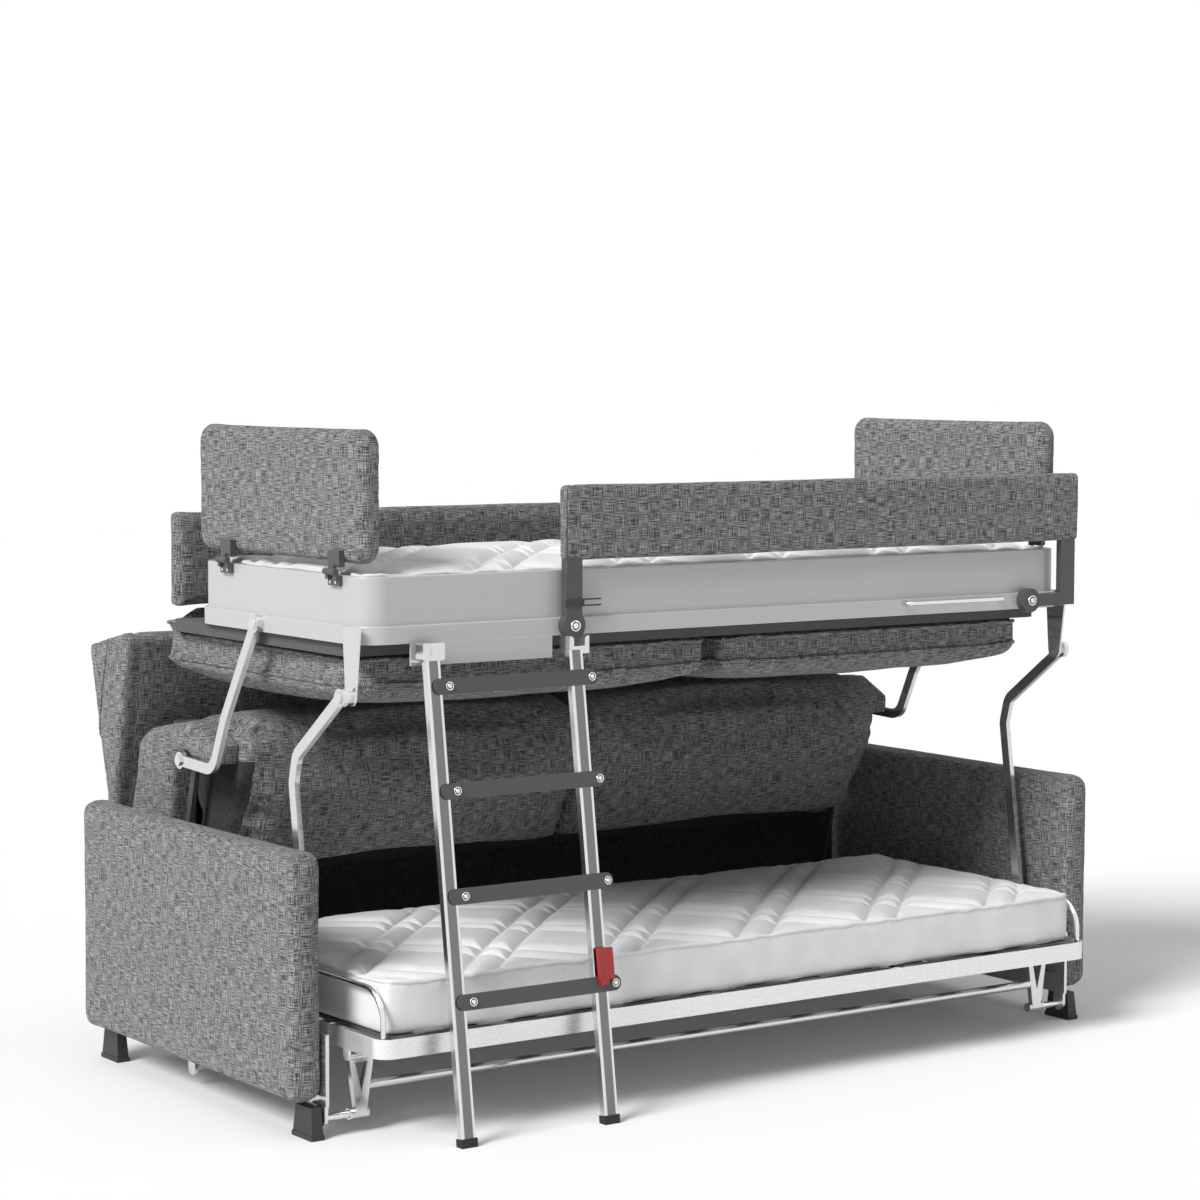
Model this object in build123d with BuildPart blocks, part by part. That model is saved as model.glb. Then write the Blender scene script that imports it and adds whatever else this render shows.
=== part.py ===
"""A sofa that turns into a bunk bed, drawn in the bunk position.

Every sub-part is drawn from the sofa's own datum: X is zero at the middle, Y is zero at the front
plane of the armrests and grows towards the back, Z is zero on the floor. At the end each piece is
moved so that the origin lies under the middle of the whole outline. Lengths are in millimetres.
"""
import math
import os

from build123d import *

# Overall sofa
width = 2200
arm_depth = 986
arm_top = 598
floor_gap = 66
arm_thickness = 73
arm_corner_radius = 38
arm_edge_radius = 20
arm_out = width / 2
arm_in = arm_out - arm_thickness

# Fits
touch_gap = 0.3
pin_clearance = 0.1
side_gap = 2
overrun = 10

# Fasteners
pin_radius = 8
bolt_head_radius = 12
bolt_head_height = 5
small_screw_radius = 3.2
small_screw_head = 2

# Feet
foot_width = 31
foot_depth = 82
foot_inset = 4
foot_front = 2
foot_pitch = 873
foot_flange = 10
foot_taper = 9

# Side frames under the armrests
frame_plate = 8
frame_front = 5
rail_height = 44
upright_width = 32
upright_top = 215
boss_radius = 30
rear_upright_width = 70
frame_end_margin = 11

# Front arms, which carry the bunk's front edge
front_ground_y = 116
front_ground_z = 150
front_pivot_y = 0
front_pivot_z = 900
knee_y = 180
knee_z = 765
shin_y = 195
shin_z = 706
calf_y = 176
calf_z = 576
ankle_y = 140
ankle_z = 319
arm_bar_width = 24
arm_bar_thickness = 12
arm_bend_radius = 40
eye_radius = 19
front_arm_inset = 43
front_arm_in = arm_in - front_arm_inset

# Rear arms, which carry the bunk's middle
rear_ground_y = 720
rear_ground_z = 697
rear_pivot_y = 380
rear_pivot_z = 1023
rear_bar_y = 516
rear_bar_z = 808
rear_bend_y = 570
rear_bend_z = 691
arm_step = 14
rear_arm_in = front_arm_in - arm_step

# Bunk tray
tray_arm_gap = 13
tray_half = rear_arm_in - tray_arm_gap
tray_front = -29
tray_rear = 668
band_bottom = 1006
band_height = 37
tray_top = 1143
tray_corner_radius = 55
tray_wall = 3
lip_width = 14
lip_height = 9
band_proud = 8
band_wall = 6
deck_thickness = 4

# Bunk soft parts
board_top = 1003
board_thickness = 26
seat_boxing = 91
seat_crown = 44
seat_inset = 7
seat_half = tray_half - seat_inset
seat_front = 38
seat_rear = 890
seat_split = 3
seat_corner_radius = 40
seat_lip_front = 826
upper_pad_side_top = 1146
upper_pad_crown = 32
upper_pad_inset = 16
upper_pad_end_gap = 8
apron_front = 797
apron_thickness = 43
apron_bottom = 1019
apron_height = 233
apron_overhang = 1
apron_half = tray_half + apron_overhang
apron_edge_radius = 14

# Head panels and their hinge blocks
panel_inset = 5
panel_out = tray_half - panel_inset
panel_thickness = 50
panel_front = -25
panel_rear = 690
panel_bottom = 1160
panel_top = 1447
panel_corner_radius = 42
panel_edge_radius = 16
block_front_places = (72, 531)
block_width = 44
block_thickness = 9
block_top = 1194
block_bottom = 1122
knuckle_radius = 7
knuckle_z = 1151
knuckle_gap = 1
screw_pitch = 22
screw_inset = 7

# Front guard
guard_length = 1468
guard_overhang = 27
guard_right = tray_half + guard_overhang
guard_left = guard_right - guard_length
guard_bottom = 1162
guard_top = 1321
guard_sleeve_thickness = 31
guard_bar = 40
guard_depth = 20
guard_bar_height = 28
guard_bolt_inset = 24
guard_foot_length = 149
guard_bolt_left = guard_left + guard_bolt_inset
guard_bolt_right = guard_right - guard_foot_length
guard_bolt_z = 1026
guard_disc_radius = 28
guard_end_margin = 12
guard_edge_radius = 9
tongue_width = 27
tongue_bottom = 985
clip_z = 1074
clip_height = 16
clip_reach = 45
clip_wall = 3

# Hook plate and handle
hook_length = 347
hook_guard_gap = 43
hook_right = guard_bolt_left - hook_guard_gap
hook_left = hook_right - hook_length
hook_bottom = 960
hook_plate_thickness = 5
shelf_width = 54
shelf_thickness = 4
shelf_front = -60
shelf_gap = 0.8
handle_length = 289
handle_guard_gap = 88
handle_right = guard_bolt_right - handle_guard_gap
handle_left = handle_right - handle_length
handle_z = 1034
handle_radius = 5
handle_reach = 34

# Ladder
ladder_tilt = math.radians(8)
ladder_foot_y = -207
ladder_span = 352
ladder_guard_step = 19
ladder_bolt_right = guard_bolt_left + ladder_guard_step
ladder_bolt_left = ladder_bolt_right - ladder_span
stile_offset = 29
stile_width = 34
stile_depth = 18
rung_pitch = 213
first_rung = 286
rung_height = 33
rung_thickness = 6
rung_overhang = 16
rung_left_overhang = 34
rung_count = 4
lug_thickness = 5
ladder_bolt_radius = 5
ladder_bolt_head = 9
ladder_head_height = 4
cap_height = 14
cap_wall = 2
right_stile_top = 976
left_stile_top = 982
fork_width = 50
fork_top = 1006
fork_floor = 16
fork_front = -77
head_width = 52
head_height = 36
head_bottom = 973
head_front = -83
head_rear = -54
latch_reach = 75
latch_start = 10
latch_width = 36
latch_tab = 20
latch_tab_drop = 12
latch_offset = 24
latch_depth = 10
latch_pin_radius = 3

# Lower bed
bed_arm_gap = 53
bed_half = arm_in - bed_arm_gap
bed_front = -123
bed_rear = 655
bed_band_bottom = 178
bed_band_height = 40
bed_band_wall = 4
bed_corner_radius = 36
ledge_count = 7
ledge_width = 26
ledge_thickness = 5
ledge_gap = 32
ledge_pitch = (2 * bed_half - 2 * bed_corner_radius) / ledge_count
ledge_length = ledge_pitch - ledge_gap
slat_count = 13
slat_width = 62
slat_thickness = 8
low_pad_inset = 32
low_pad_half = bed_half - low_pad_inset
low_pad_front = -103
low_pad_rear = 625
low_pad_side_top = 330
low_pad_crown = 15
hoop_radius = 6
hoop_inset = 19
hoop_x = bed_half - hoop_inset
hoop_front = -102
hoop_rear = 600
hoop_top = 313
hoop_bend = 68
hoop_pad_width = 24

# Folding legs of the lower bed
leg_ground_y = 25
leg_ground_z = 40
leg_top_y = 15
leg_top_z = 165
leg_rear_shift = 560
leg_inset = 6
leg_outer = bed_half - leg_inset
leg_top_width = 60
leg_tip_width = 24
leg_thickness = 14
leg_barrel_radius = 11
leg_low_barrel = 40
leg_window_low = 84
leg_window_high = 148
leg_window_width = 30
leg_lug_radius = 16
tube_radius = 10
tube_z = 98

# Backrest
wing_arm_gap = 4
wing_width = 74
wing_out = rear_arm_in - wing_arm_gap
back_half = wing_out - wing_width
back_bottom = 442
back_heel_y = 662
back_hollow_y = 596
back_hollow_z = 533
back_belly_y = 547
back_belly_z = 630
back_front = 535
back_front_z = 690
back_brow_y = 548
back_brow_z = 750
back_crown_y = 617
back_crown_z = 782
back_rear_base_y = 820
back_split = 3
cushion_edge_inset = 14
wing_front = 593
wing_front_top = 748
wing_under_front = 697
wing_under_rear = 705
wing_ridge_y = 689
wing_ridge_z = 796
wing_top_rear_y = 905
wing_top_rear_z = 760
wing_arch_gap = 6
wing_rear_y = 956
wing_rear_z = 731
wing_heel_y = 1008
wing_heel_z = 562
wing_base_z = 404
wing_leg_top_y = 768
wing_leg_base_y = 812
wing_edge_radius = 8
back_pivot_y = 930
back_pivot_z = 430
hood_arm_gap = 27
hood_half = arm_in - hood_arm_gap
hood_top_front_y = 925
hood_top_z = 972
hood_rear_y = 1133
hood_rear_z = 925
hood_base_z = 562
hood_base_depth = 32
hood_corner_radius = 24
back_board_thickness = 16
rib_z = 700
rib_thickness = 14

# Base behind the lower bed
cross_rail_y = 862
cross_rail_size = 40
cross_rail_wall = 3
cross_rail_z = 68
lining_end_gap = 4
lining_thickness = 4
lining_top = 400
strut_inset = 31
strut_in = wing_out - strut_inset
strut_slot_height = 48
strut_thickness = 8
strut_width = 20

pieces = {}


def side_plane(side, distance):
    """The upright plane at that distance from the middle, seen with Y across and Z up."""
    return Plane.YZ.offset(side * distance)


def keep(name, builder):
    """Keeps a finished piece under its name."""
    pieces[name] = builder.part


def mirrored(part):
    """The same piece on the other side of the sofa."""
    return mirror(part, about=Plane.YZ)


def depth_at(height, low, high):
    """The Y of a slanted line between two Y, Z points at that height."""
    return low[0] + (height - low[1]) * (high[0] - low[0]) / (high[1] - low[1])


# Armrests and feet
with BuildPart() as right_armrest:
    with BuildSketch(side_plane(1, arm_in)):
        with Locations((arm_depth / 2, (floor_gap + arm_top) / 2)):
            RectangleRounded(arm_depth, arm_top - floor_gap, arm_corner_radius)
    extrude(amount=arm_thickness)
    fillet(right_armrest.faces().sort_by(Axis.X)[-1].edges(), arm_edge_radius)
    fillet(right_armrest.faces().sort_by(Axis.X)[0].edges(), arm_edge_radius)
keep("right_armrest", right_armrest)
pieces["left_armrest"] = mirrored(right_armrest.part)

foot_x = arm_in + foot_inset + foot_width / 2
foot_y_places = (foot_front + foot_depth / 2, foot_front + foot_pitch + foot_depth / 2)
with BuildPart() as feet:
    for side in (-1, 1):
        for foot_y in foot_y_places:
            with BuildSketch(Plane.XY):
                with Locations((side * foot_x, foot_y)):
                    Rectangle(foot_width, foot_depth)
            extrude(amount=foot_flange)
            with BuildSketch(Plane.XY.offset(foot_flange)):
                with Locations((side * foot_x, foot_y)):
                    Rectangle(foot_width - foot_inset, foot_depth - foot_inset)
            with BuildSketch(Plane.XY.offset(floor_gap)):
                with Locations((side * foot_x, foot_y)):
                    Rectangle(foot_width - foot_taper, foot_depth - 2 * foot_taper)
            loft()
keep("feet", feet)

# Side frames: a base rail, a front upright, a lug for the front arm and a rear upright
frame_in = arm_in - frame_plate
frame_rear = arm_depth - frame_end_margin
rail_top = floor_gap + rail_height
with BuildPart() as right_side_frame:
    with BuildSketch(side_plane(1, frame_in)):
        with Locations(((frame_front + frame_rear) / 2, floor_gap + rail_height / 2)):
            Rectangle(frame_rear - frame_front, rail_height)
        with Locations((frame_front + upright_width / 2, (floor_gap + upright_top) / 2)):
            Rectangle(upright_width, upright_top - floor_gap)
        with Locations((front_ground_y, front_ground_z)):
            Circle(boss_radius)
        with Locations((front_ground_y, (rail_top + front_ground_z) / 2)):
            Rectangle(2 * boss_radius, front_ground_z - rail_top)
        with Locations((back_pivot_y, (rail_top + back_pivot_z) / 2)):
            Rectangle(rear_upright_width, back_pivot_z - rail_top)
        with Locations((back_pivot_y, back_pivot_z)):
            Circle(rear_upright_width / 2)
        for shift in (0, leg_rear_shift):
            with Locations((leg_ground_y + shift, leg_ground_z)):
                Circle(leg_lug_radius)
            with Locations((leg_ground_y + shift, (leg_ground_z + floor_gap) / 2)):
                Rectangle(2 * leg_lug_radius, floor_gap - leg_ground_z)
    extrude(amount=frame_plate)
keep("right_side_frame", right_side_frame)
pieces["left_side_frame"] = mirrored(right_side_frame.part)

with BuildPart() as rear_cross_rail:
    with BuildSketch(Plane.YZ.offset(-frame_in)):
        with Locations((cross_rail_y + cross_rail_size / 2, cross_rail_z + cross_rail_size / 2)):
            Rectangle(cross_rail_size, cross_rail_size)
            Rectangle(cross_rail_size - 2 * cross_rail_wall, cross_rail_size - 2 * cross_rail_wall,
                      mode=Mode.SUBTRACT)
    extrude(amount=2 * frame_in)
keep("rear_cross_rail", rear_cross_rail)

rail_seat_z = cross_rail_z + cross_rail_size
lining_y = cross_rail_y + cross_rail_size / 2
lining_half = frame_in - lining_end_gap
with BuildPart() as base_lining:
    with BuildSketch(Plane.XY.offset(rail_seat_z)):
        with Locations((0, lining_y)):
            Rectangle(2 * lining_half, lining_thickness)
    extrude(amount=lining_top - rail_seat_z)
    with BuildSketch(Plane.XY.offset(rail_seat_z)):
        for side in (-1, 1):
            with Locations((side * (strut_in + strut_thickness / 2), lining_y)):
                Rectangle(strut_thickness + 2 * side_gap, lining_thickness + 2 * overrun)
    extrude(amount=strut_slot_height, mode=Mode.SUBTRACT)
keep("base_lining", base_lining)

# Struts that hold the rear arms' axles inside the hollow backrest
with BuildPart() as back_struts:
    for side in (-1, 1):
        with BuildSketch(side_plane(side, strut_in)):
            with BuildLine():
                Polyline((rear_ground_y - strut_width / 2, rear_ground_z),
                         (lining_y - strut_width / 2, rail_seat_z),
                         (lining_y + strut_width / 2 - side_gap, rail_seat_z),
                         (rear_ground_y + strut_width / 2, rear_ground_z), close=True)
            make_face()
            with Locations((rear_ground_y, rear_ground_z)):
                Circle(strut_width / 2 + side_gap)
        extrude(amount=side * strut_thickness)
    for side in (-1, 1):
        with BuildSketch(side_plane(side, strut_in)):
            with Locations((rear_ground_y, rear_ground_z)):
                Circle(pin_radius)
        extrude(amount=side * strut_thickness, mode=Mode.SUBTRACT)
keep("back_struts", back_struts)

# The fixed pivot pins: front arms, rear arms, backrest and lower legs, with their heads and collars
front_arm_out = front_arm_in + arm_bar_thickness
rear_arm_out = rear_arm_in + arm_bar_thickness
back_pin_in = wing_out - 3 * pin_radius
leg_x = leg_outer - leg_top_width / 2
leg_pin_in = leg_x - leg_low_barrel / 2
leg_collar = leg_x + leg_low_barrel / 2 + touch_gap
pin_places = ((front_ground_y, front_ground_z, front_arm_in, frame_in),
              (rear_ground_y, rear_ground_z, strut_in, rear_arm_out),
              (back_pivot_y, back_pivot_z, back_pin_in, frame_in),
              (leg_ground_y, leg_ground_z, leg_pin_in, frame_in),
              (leg_ground_y + leg_rear_shift, leg_ground_z, leg_pin_in, frame_in))
with BuildPart() as pivot_pins:
    for side in (-1, 1):
        for pin_y, pin_z, pin_near, pin_far in pin_places:
            with BuildSketch(side_plane(side, pin_near)):
                with Locations((pin_y, pin_z)):
                    Circle(pin_radius)
            extrude(amount=side * (pin_far - pin_near))
        with BuildSketch(side_plane(side, front_arm_in - touch_gap - bolt_head_height)):
            with Locations((front_ground_y, front_ground_z)):
                Circle(bolt_head_radius)
        extrude(amount=side * bolt_head_height)
        with BuildSketch(side_plane(side, front_arm_in - touch_gap - bolt_head_height)):
            with Locations((front_ground_y, front_ground_z)):
                Circle(pin_radius)
        extrude(amount=side * (bolt_head_height + touch_gap))
        with BuildSketch(side_plane(side, rear_arm_out)):
            with Locations((rear_ground_y, rear_ground_z)):
                Circle(pin_radius)
        extrude(amount=side * (touch_gap + bolt_head_height))
        with BuildSketch(side_plane(side, rear_arm_out + touch_gap)):
            with Locations((rear_ground_y, rear_ground_z)):
                Circle(bolt_head_radius)
        extrude(amount=side * bolt_head_height)
        with BuildSketch(side_plane(side, front_arm_out + touch_gap)):
            with Locations((front_ground_y, front_ground_z)):
                Circle(bolt_head_radius + side_gap)
        extrude(amount=side * (frame_in - front_arm_out - touch_gap))
        with BuildSketch(side_plane(side, leg_collar)):
            with Locations((leg_ground_y, leg_ground_z), (leg_ground_y + leg_rear_shift, leg_ground_z)):
                Circle(bolt_head_radius)
        extrude(amount=side * bolt_head_height)
keep("pivot_pins", pivot_pins)


def bent_bar(side, near, route, eyes, bore=True):
    """A flat bar along a route of Y, Z points, with a round eye at each of its ends."""
    with BuildPart() as bar:
        with BuildSketch(side_plane(side, near)) as outline:
            with BuildLine():
                FilletPolyline(*route, radius=arm_bend_radius)
            trace(line_width=arm_bar_width)
            with Locations(*eyes):
                Circle(eye_radius)
            if bore:
                with Locations(*eyes):
                    Circle(pin_radius + pin_clearance, mode=Mode.SUBTRACT)
        extrude(amount=side * arm_bar_thickness)
    return bar.part


front_route = ((front_pivot_y, front_pivot_z), (knee_y, knee_z), (shin_y, shin_z), (calf_y, calf_z),
               (ankle_y, ankle_z), (front_ground_y, front_ground_z))
pieces["left_front_arm"] = bent_bar(-1, front_arm_in, front_route, (front_route[0], front_route[-1]))
pieces["right_front_arm"] = bent_bar(1, front_arm_in, front_route, (front_route[0], front_route[-1]))

rear_route = ((rear_pivot_y, rear_pivot_z), (rear_bar_y, rear_bar_z), (rear_bend_y, rear_bend_z),
              (rear_ground_y, rear_ground_z))


def rear_bar(side):
    """A rear arm: its upper eye is blind, because its bolt stays with the arm."""
    with BuildPart() as bar:
        add(bent_bar(side, rear_arm_in, rear_route, (rear_route[0], rear_route[-1]), bore=False))
        with BuildSketch(side_plane(side, rear_arm_in)):
            with Locations(rear_route[-1]):
                Circle(pin_radius + pin_clearance)
        extrude(amount=side * arm_bar_thickness, mode=Mode.SUBTRACT)
    return bar.part


pieces["left_rear_arm"] = rear_bar(-1)
pieces["right_rear_arm"] = rear_bar(1)

with BuildPart() as rear_arm_bolts:
    for side in (-1, 1):
        with BuildSketch(side_plane(side, rear_arm_out)):
            with Locations((rear_pivot_y, rear_pivot_z)):
                Circle(bolt_head_radius)
        extrude(amount=side * bolt_head_height)
    fillet(rear_arm_bolts.faces().group_by(Axis.X)[0].edges(), small_screw_head / 2)
    fillet(rear_arm_bolts.faces().group_by(Axis.X)[-1].edges(), small_screw_head / 2)
keep("rear_arm_bolts", rear_arm_bolts)

# Bunk tray: an open box on a proud lower band, with a rolled lip round its rim
tray_mid_y = (tray_front + tray_rear) / 2
tray_depth = tray_rear - tray_front
band_top = band_bottom + band_height
band_half = tray_half + band_proud
band_front = tray_front - band_proud - side_gap
band_rear = tray_rear + band_proud
with BuildPart() as bunk_tray:
    with BuildSketch(Plane.XY.offset(band_top)):
        with Locations((0, tray_mid_y)):
            RectangleRounded(2 * tray_half, tray_depth, tray_corner_radius)
            RectangleRounded(2 * (tray_half - tray_wall), tray_depth - 2 * tray_wall,
                             tray_corner_radius - tray_wall, mode=Mode.SUBTRACT)
    extrude(amount=tray_top - band_top)
    with BuildSketch(Plane.XY.offset(band_top)):
        with Locations((0, tray_mid_y)):
            RectangleRounded(2 * (tray_half - tray_wall), tray_depth - 2 * tray_wall,
                             tray_corner_radius - tray_wall)
    extrude(amount=deck_thickness)
    with BuildSketch(Plane.XY.offset(tray_top - lip_height)):
        with Locations((0, tray_mid_y)):
            RectangleRounded(2 * (tray_half - tray_wall), tray_depth - 2 * tray_wall,
                             tray_corner_radius - tray_wall)
            RectangleRounded(2 * (tray_half - lip_width), tray_depth - 2 * lip_width,
                             tray_corner_radius - lip_width, mode=Mode.SUBTRACT)
    extrude(amount=lip_height)
    fillet(bunk_tray.edges().group_by(Axis.Z)[-1], tray_wall)
keep("bunk_tray", bunk_tray)

with BuildPart() as bunk_band:
    with BuildSketch(Plane.XY.offset(band_bottom)):
        with Locations((0, (band_front + band_rear) / 2)):
            RectangleRounded(2 * band_half, band_rear - band_front, tray_corner_radius + band_proud)
            RectangleRounded(2 * (tray_half - band_wall), band_rear - band_front - 2 * (band_proud + band_wall),
                             tray_corner_radius - band_wall, mode=Mode.SUBTRACT)
    extrude(amount=band_height)
    fillet(bunk_band.edges().group_by(Axis.Z)[-1], tray_wall)
keep("bunk_band", bunk_band)

# The board under the tray, which the seat cushions are sewn to
band_inner_rear = band_rear - band_proud - band_wall
with BuildPart() as seat_board:
    with BuildSketch(Plane.XY.offset(board_top - board_thickness)):
        with Locations((0, (seat_front + seat_lip_front) / 2)):
            RectangleRounded(2 * seat_half, seat_lip_front - seat_front, seat_corner_radius)
    extrude(amount=board_thickness)
    with BuildSketch(Plane.XY.offset(board_top)):
        with Locations((0, (seat_front + band_inner_rear - side_gap) / 2)):
            RectangleRounded(2 * (tray_half - band_wall - side_gap), band_inner_rear - side_gap - seat_front,
                             tray_corner_radius - band_wall)
    extrude(amount=band_top - board_top)
keep("seat_board", seat_board)


def crowned_section(place, y_low, y_high, z_flat, z_side, z_crown, lip):
    """One slice of a pad across Y: flat on z_flat, upright sides and a crown beyond z_side.

    A lip, given by where it starts in Y and where it ends in Z, stands on the flat's far end.
    """
    lip_y, lip_z = lip or ((y_low + y_high) / 2, z_flat)
    with BuildSketch(Plane.YZ.offset(place)) as section:
        with BuildLine():
            Line((y_low, z_side), (y_low, z_flat))
            Line((y_low, z_flat), (lip_y, z_flat))
            if lip:
                Line((lip_y, z_flat), (lip_y, lip_z))
            Line((lip_y, lip_z), (y_high, lip_z))
            Line((y_high, lip_z), (y_high, z_side))
            ThreePointArc((y_high, z_side), ((y_low + y_high) / 2, z_crown), (y_low, z_side))
        make_face()
    return section.sketch


crown_station_shares = ((0, 0.1, 1), (0.015, 0.3, 0.5), (0.06, 0.5, 0.15), (0.2, 0.85, 0), (0.5, 1, 0),
                        (0.8, 0.85, 0), (0.94, 0.5, 0.15), (0.985, 0.3, 0.5), (1, 0.1, 1))


def crowned_pad(x_low, x_high, y_low, y_high, z_flat, z_side, crown, pull, lip=None):
    """A pad whose crown swells towards its middle and whose ends draw in by pull."""
    with BuildPart() as pad:
        slices = [crowned_section(x_low + share * (x_high - x_low), y_low + draw_share * pull,
                                  y_high - draw_share * pull, z_flat, z_side, z_side + crown_share * crown, lip)
                  for share, crown_share, draw_share in crown_station_shares]
        loft(slices, ruled=True)
    return pad.part


board_bottom = board_top - board_thickness
seat_side = board_bottom - seat_boxing
seat_lip = (seat_lip_front, apron_bottom - touch_gap)
pieces["left_seat_cushion"] = crowned_pad(-seat_half, -seat_split / 2, seat_front, seat_rear, board_bottom,
                                          seat_side, -seat_crown, cushion_edge_inset, seat_lip)
pieces["right_seat_cushion"] = crowned_pad(seat_split / 2, seat_half, seat_front, seat_rear, board_bottom,
                                           seat_side, -seat_crown, cushion_edge_inset, seat_lip)
upper_pad_half = tray_half - lip_width - upper_pad_end_gap
pieces["upper_mattress"] = crowned_pad(-upper_pad_half, upper_pad_half,
                                       tray_front + lip_width + side_gap, tray_rear - lip_width - side_gap,
                                       band_top + deck_thickness, upper_pad_side_top, upper_pad_crown,
                                       upper_pad_inset)

with BuildPart() as front_apron:
    with BuildSketch(Plane.XZ.offset(-apron_front)):
        with Locations((0, apron_bottom + apron_height / 2)):
            RectangleRounded(2 * apron_half, apron_height, apron_edge_radius)
    extrude(amount=-apron_thickness)
    fillet(front_apron.faces().sort_by(Axis.Y)[0].edges(), apron_edge_radius)
    fillet(front_apron.faces().sort_by(Axis.Y)[-1].edges(), apron_edge_radius)
keep("front_apron", front_apron)

# Rails that carry the apron on the seat board's rear edge
with BuildPart() as apron_rails:
    for side in (-1, 1):
        with BuildSketch(side_plane(side, seat_half / 2)):
            with BuildLine():
                Polyline((tray_rear + band_proud + side_gap, board_top), (apron_front, board_top),
                         (apron_front, apron_bottom + apron_height / 2),
                         (apron_front - frame_plate, apron_bottom + apron_height / 2),
                         (apron_front - frame_plate, board_top + frame_plate),
                         (tray_rear + band_proud + side_gap, board_top + frame_plate), close=True)
            make_face()
        extrude(amount=side * upright_width)
keep("apron_rails", apron_rails)

# Brackets and lugs that hang the bunk on its arms
with BuildPart() as pivot_brackets:
    for side in (-1, 1):
        with BuildSketch(side_plane(side, band_half)):
            with BuildLine():
                Polyline((band_front + side_gap, band_top), (front_pivot_y + boss_radius, band_top),
                         (front_pivot_y + eye_radius, front_pivot_z), (front_pivot_y - eye_radius, front_pivot_z),
                         close=True)
            make_face()
            with Locations((front_pivot_y, front_pivot_z)):
                Circle(eye_radius)
        extrude(amount=side * lug_thickness)
        with BuildSketch(side_plane(side, band_half + lug_thickness)):
            with Locations((front_pivot_y, front_pivot_z)):
                Circle(bolt_head_radius)
        extrude(amount=side * (front_arm_in - band_half - lug_thickness - touch_gap))
        with BuildSketch(side_plane(side, band_half)):
            with Locations((front_pivot_y, front_pivot_z)):
                Circle(pin_radius)
        extrude(amount=side * (front_arm_in - band_half), mode=Mode.SUBTRACT)
        with BuildSketch(side_plane(side, band_half)):
            with Locations((rear_pivot_y, rear_pivot_z)):
                Circle(eye_radius)
        extrude(amount=side * (rear_arm_in - band_half - touch_gap))
keep("pivot_brackets", pivot_brackets)

with BuildPart() as front_arm_bolts:
    for side in (-1, 1):
        with BuildSketch(side_plane(side, band_half)):
            with Locations((front_pivot_y, front_pivot_z)):
                Circle(pin_radius)
        extrude(amount=side * (front_arm_out + touch_gap - band_half))
        with BuildSketch(side_plane(side, front_arm_out + touch_gap)):
            with Locations((front_pivot_y, front_pivot_z)):
                Circle(bolt_head_radius)
        extrude(amount=side * bolt_head_height)
keep("front_arm_bolts", front_arm_bolts)

# Pull handle on the tray's front
handle_y = tray_front - handle_reach
with BuildPart() as pull_handle:
    with BuildLine():
        FilletPolyline((handle_left, tray_front - band_proud - side_gap, handle_z),
                       (handle_left, handle_y, handle_z), (handle_right, handle_y, handle_z),
                       (handle_right, tray_front - band_proud - side_gap, handle_z),
                       radius=2 * handle_radius)
    with BuildSketch(Plane(origin=(handle_left, band_front, handle_z), z_dir=(0, -1, 0))):
        Circle(handle_radius)
    sweep()
keep("pull_handle", pull_handle)

# Hook plate under the band's front, with a small shelf that the ladder's left head rests on
stile_left_x = ladder_bolt_left - stile_offset
with BuildPart() as ladder_hook_plate:
    with BuildSketch(Plane.XZ.offset(-band_front - hook_plate_thickness)):
        with Locations(((hook_left + hook_right) / 2, (hook_bottom + band_bottom) / 2)):
            Rectangle(hook_right - hook_left, band_bottom - hook_bottom)
    extrude(amount=hook_plate_thickness)
    with BuildSketch(Plane.XY.offset(head_bottom - shelf_gap - shelf_thickness)):
        with Locations((stile_left_x, (shelf_front + band_front) / 2)):
            Rectangle(shelf_width, band_front - shelf_front)
    extrude(amount=shelf_thickness)
keep("ladder_hook_plate", ladder_hook_plate)

# Front guard: one welded frame of square tube, which a fabric sleeve covers
post_front = band_front - guard_depth
guard_mid_z = (guard_bottom + guard_top) / 2
left_post_x = guard_bolt_left
right_post_x = guard_right - guard_end_margin - guard_bar / 2
frame_high = guard_top - guard_edge_radius
with BuildPart() as guard_frame:
    with BuildSketch(Plane.XZ.offset(-band_front)):
        for post_x in (left_post_x, right_post_x):
            with Locations((post_x, (guard_bolt_z + frame_high) / 2)):
                Rectangle(guard_bar, frame_high - guard_bolt_z)
        with Locations(((left_post_x + right_post_x) / 2, frame_high - guard_bar_height / 2)):
            Rectangle(right_post_x - left_post_x, guard_bar_height)
        with Locations(((guard_bolt_right + right_post_x + guard_bar / 2) / 2, guard_bolt_z)):
            Rectangle(right_post_x + guard_bar / 2 - guard_bolt_right, guard_bar_height)
        with Locations((guard_bolt_left, guard_bolt_z), (guard_bolt_right, guard_bolt_z)):
            Circle(guard_disc_radius)
        with Locations((guard_bolt_left, (guard_bolt_z + tongue_bottom) / 2)):
            Rectangle(tongue_width, guard_bolt_z - tongue_bottom)
    extrude(amount=guard_depth)
keep("guard_frame", guard_frame)

sleeve_rear = tray_front - side_gap
with BuildPart() as guard_sleeve:
    with BuildSketch(Plane.XZ.offset(-sleeve_rear)):
        with Locations(((guard_left + guard_right) / 2, guard_mid_z)):
            RectangleRounded(guard_right - guard_left, guard_top - guard_bottom, guard_edge_radius)
    extrude(amount=guard_sleeve_thickness)
    fillet(guard_sleeve.faces().sort_by(Axis.Y)[0].edges(), guard_edge_radius)
    fillet(guard_sleeve.faces().sort_by(Axis.Y)[-1].edges(), guard_edge_radius)
    add(guard_frame.part, mode=Mode.SUBTRACT)
keep("guard_sleeve", guard_sleeve)

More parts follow.
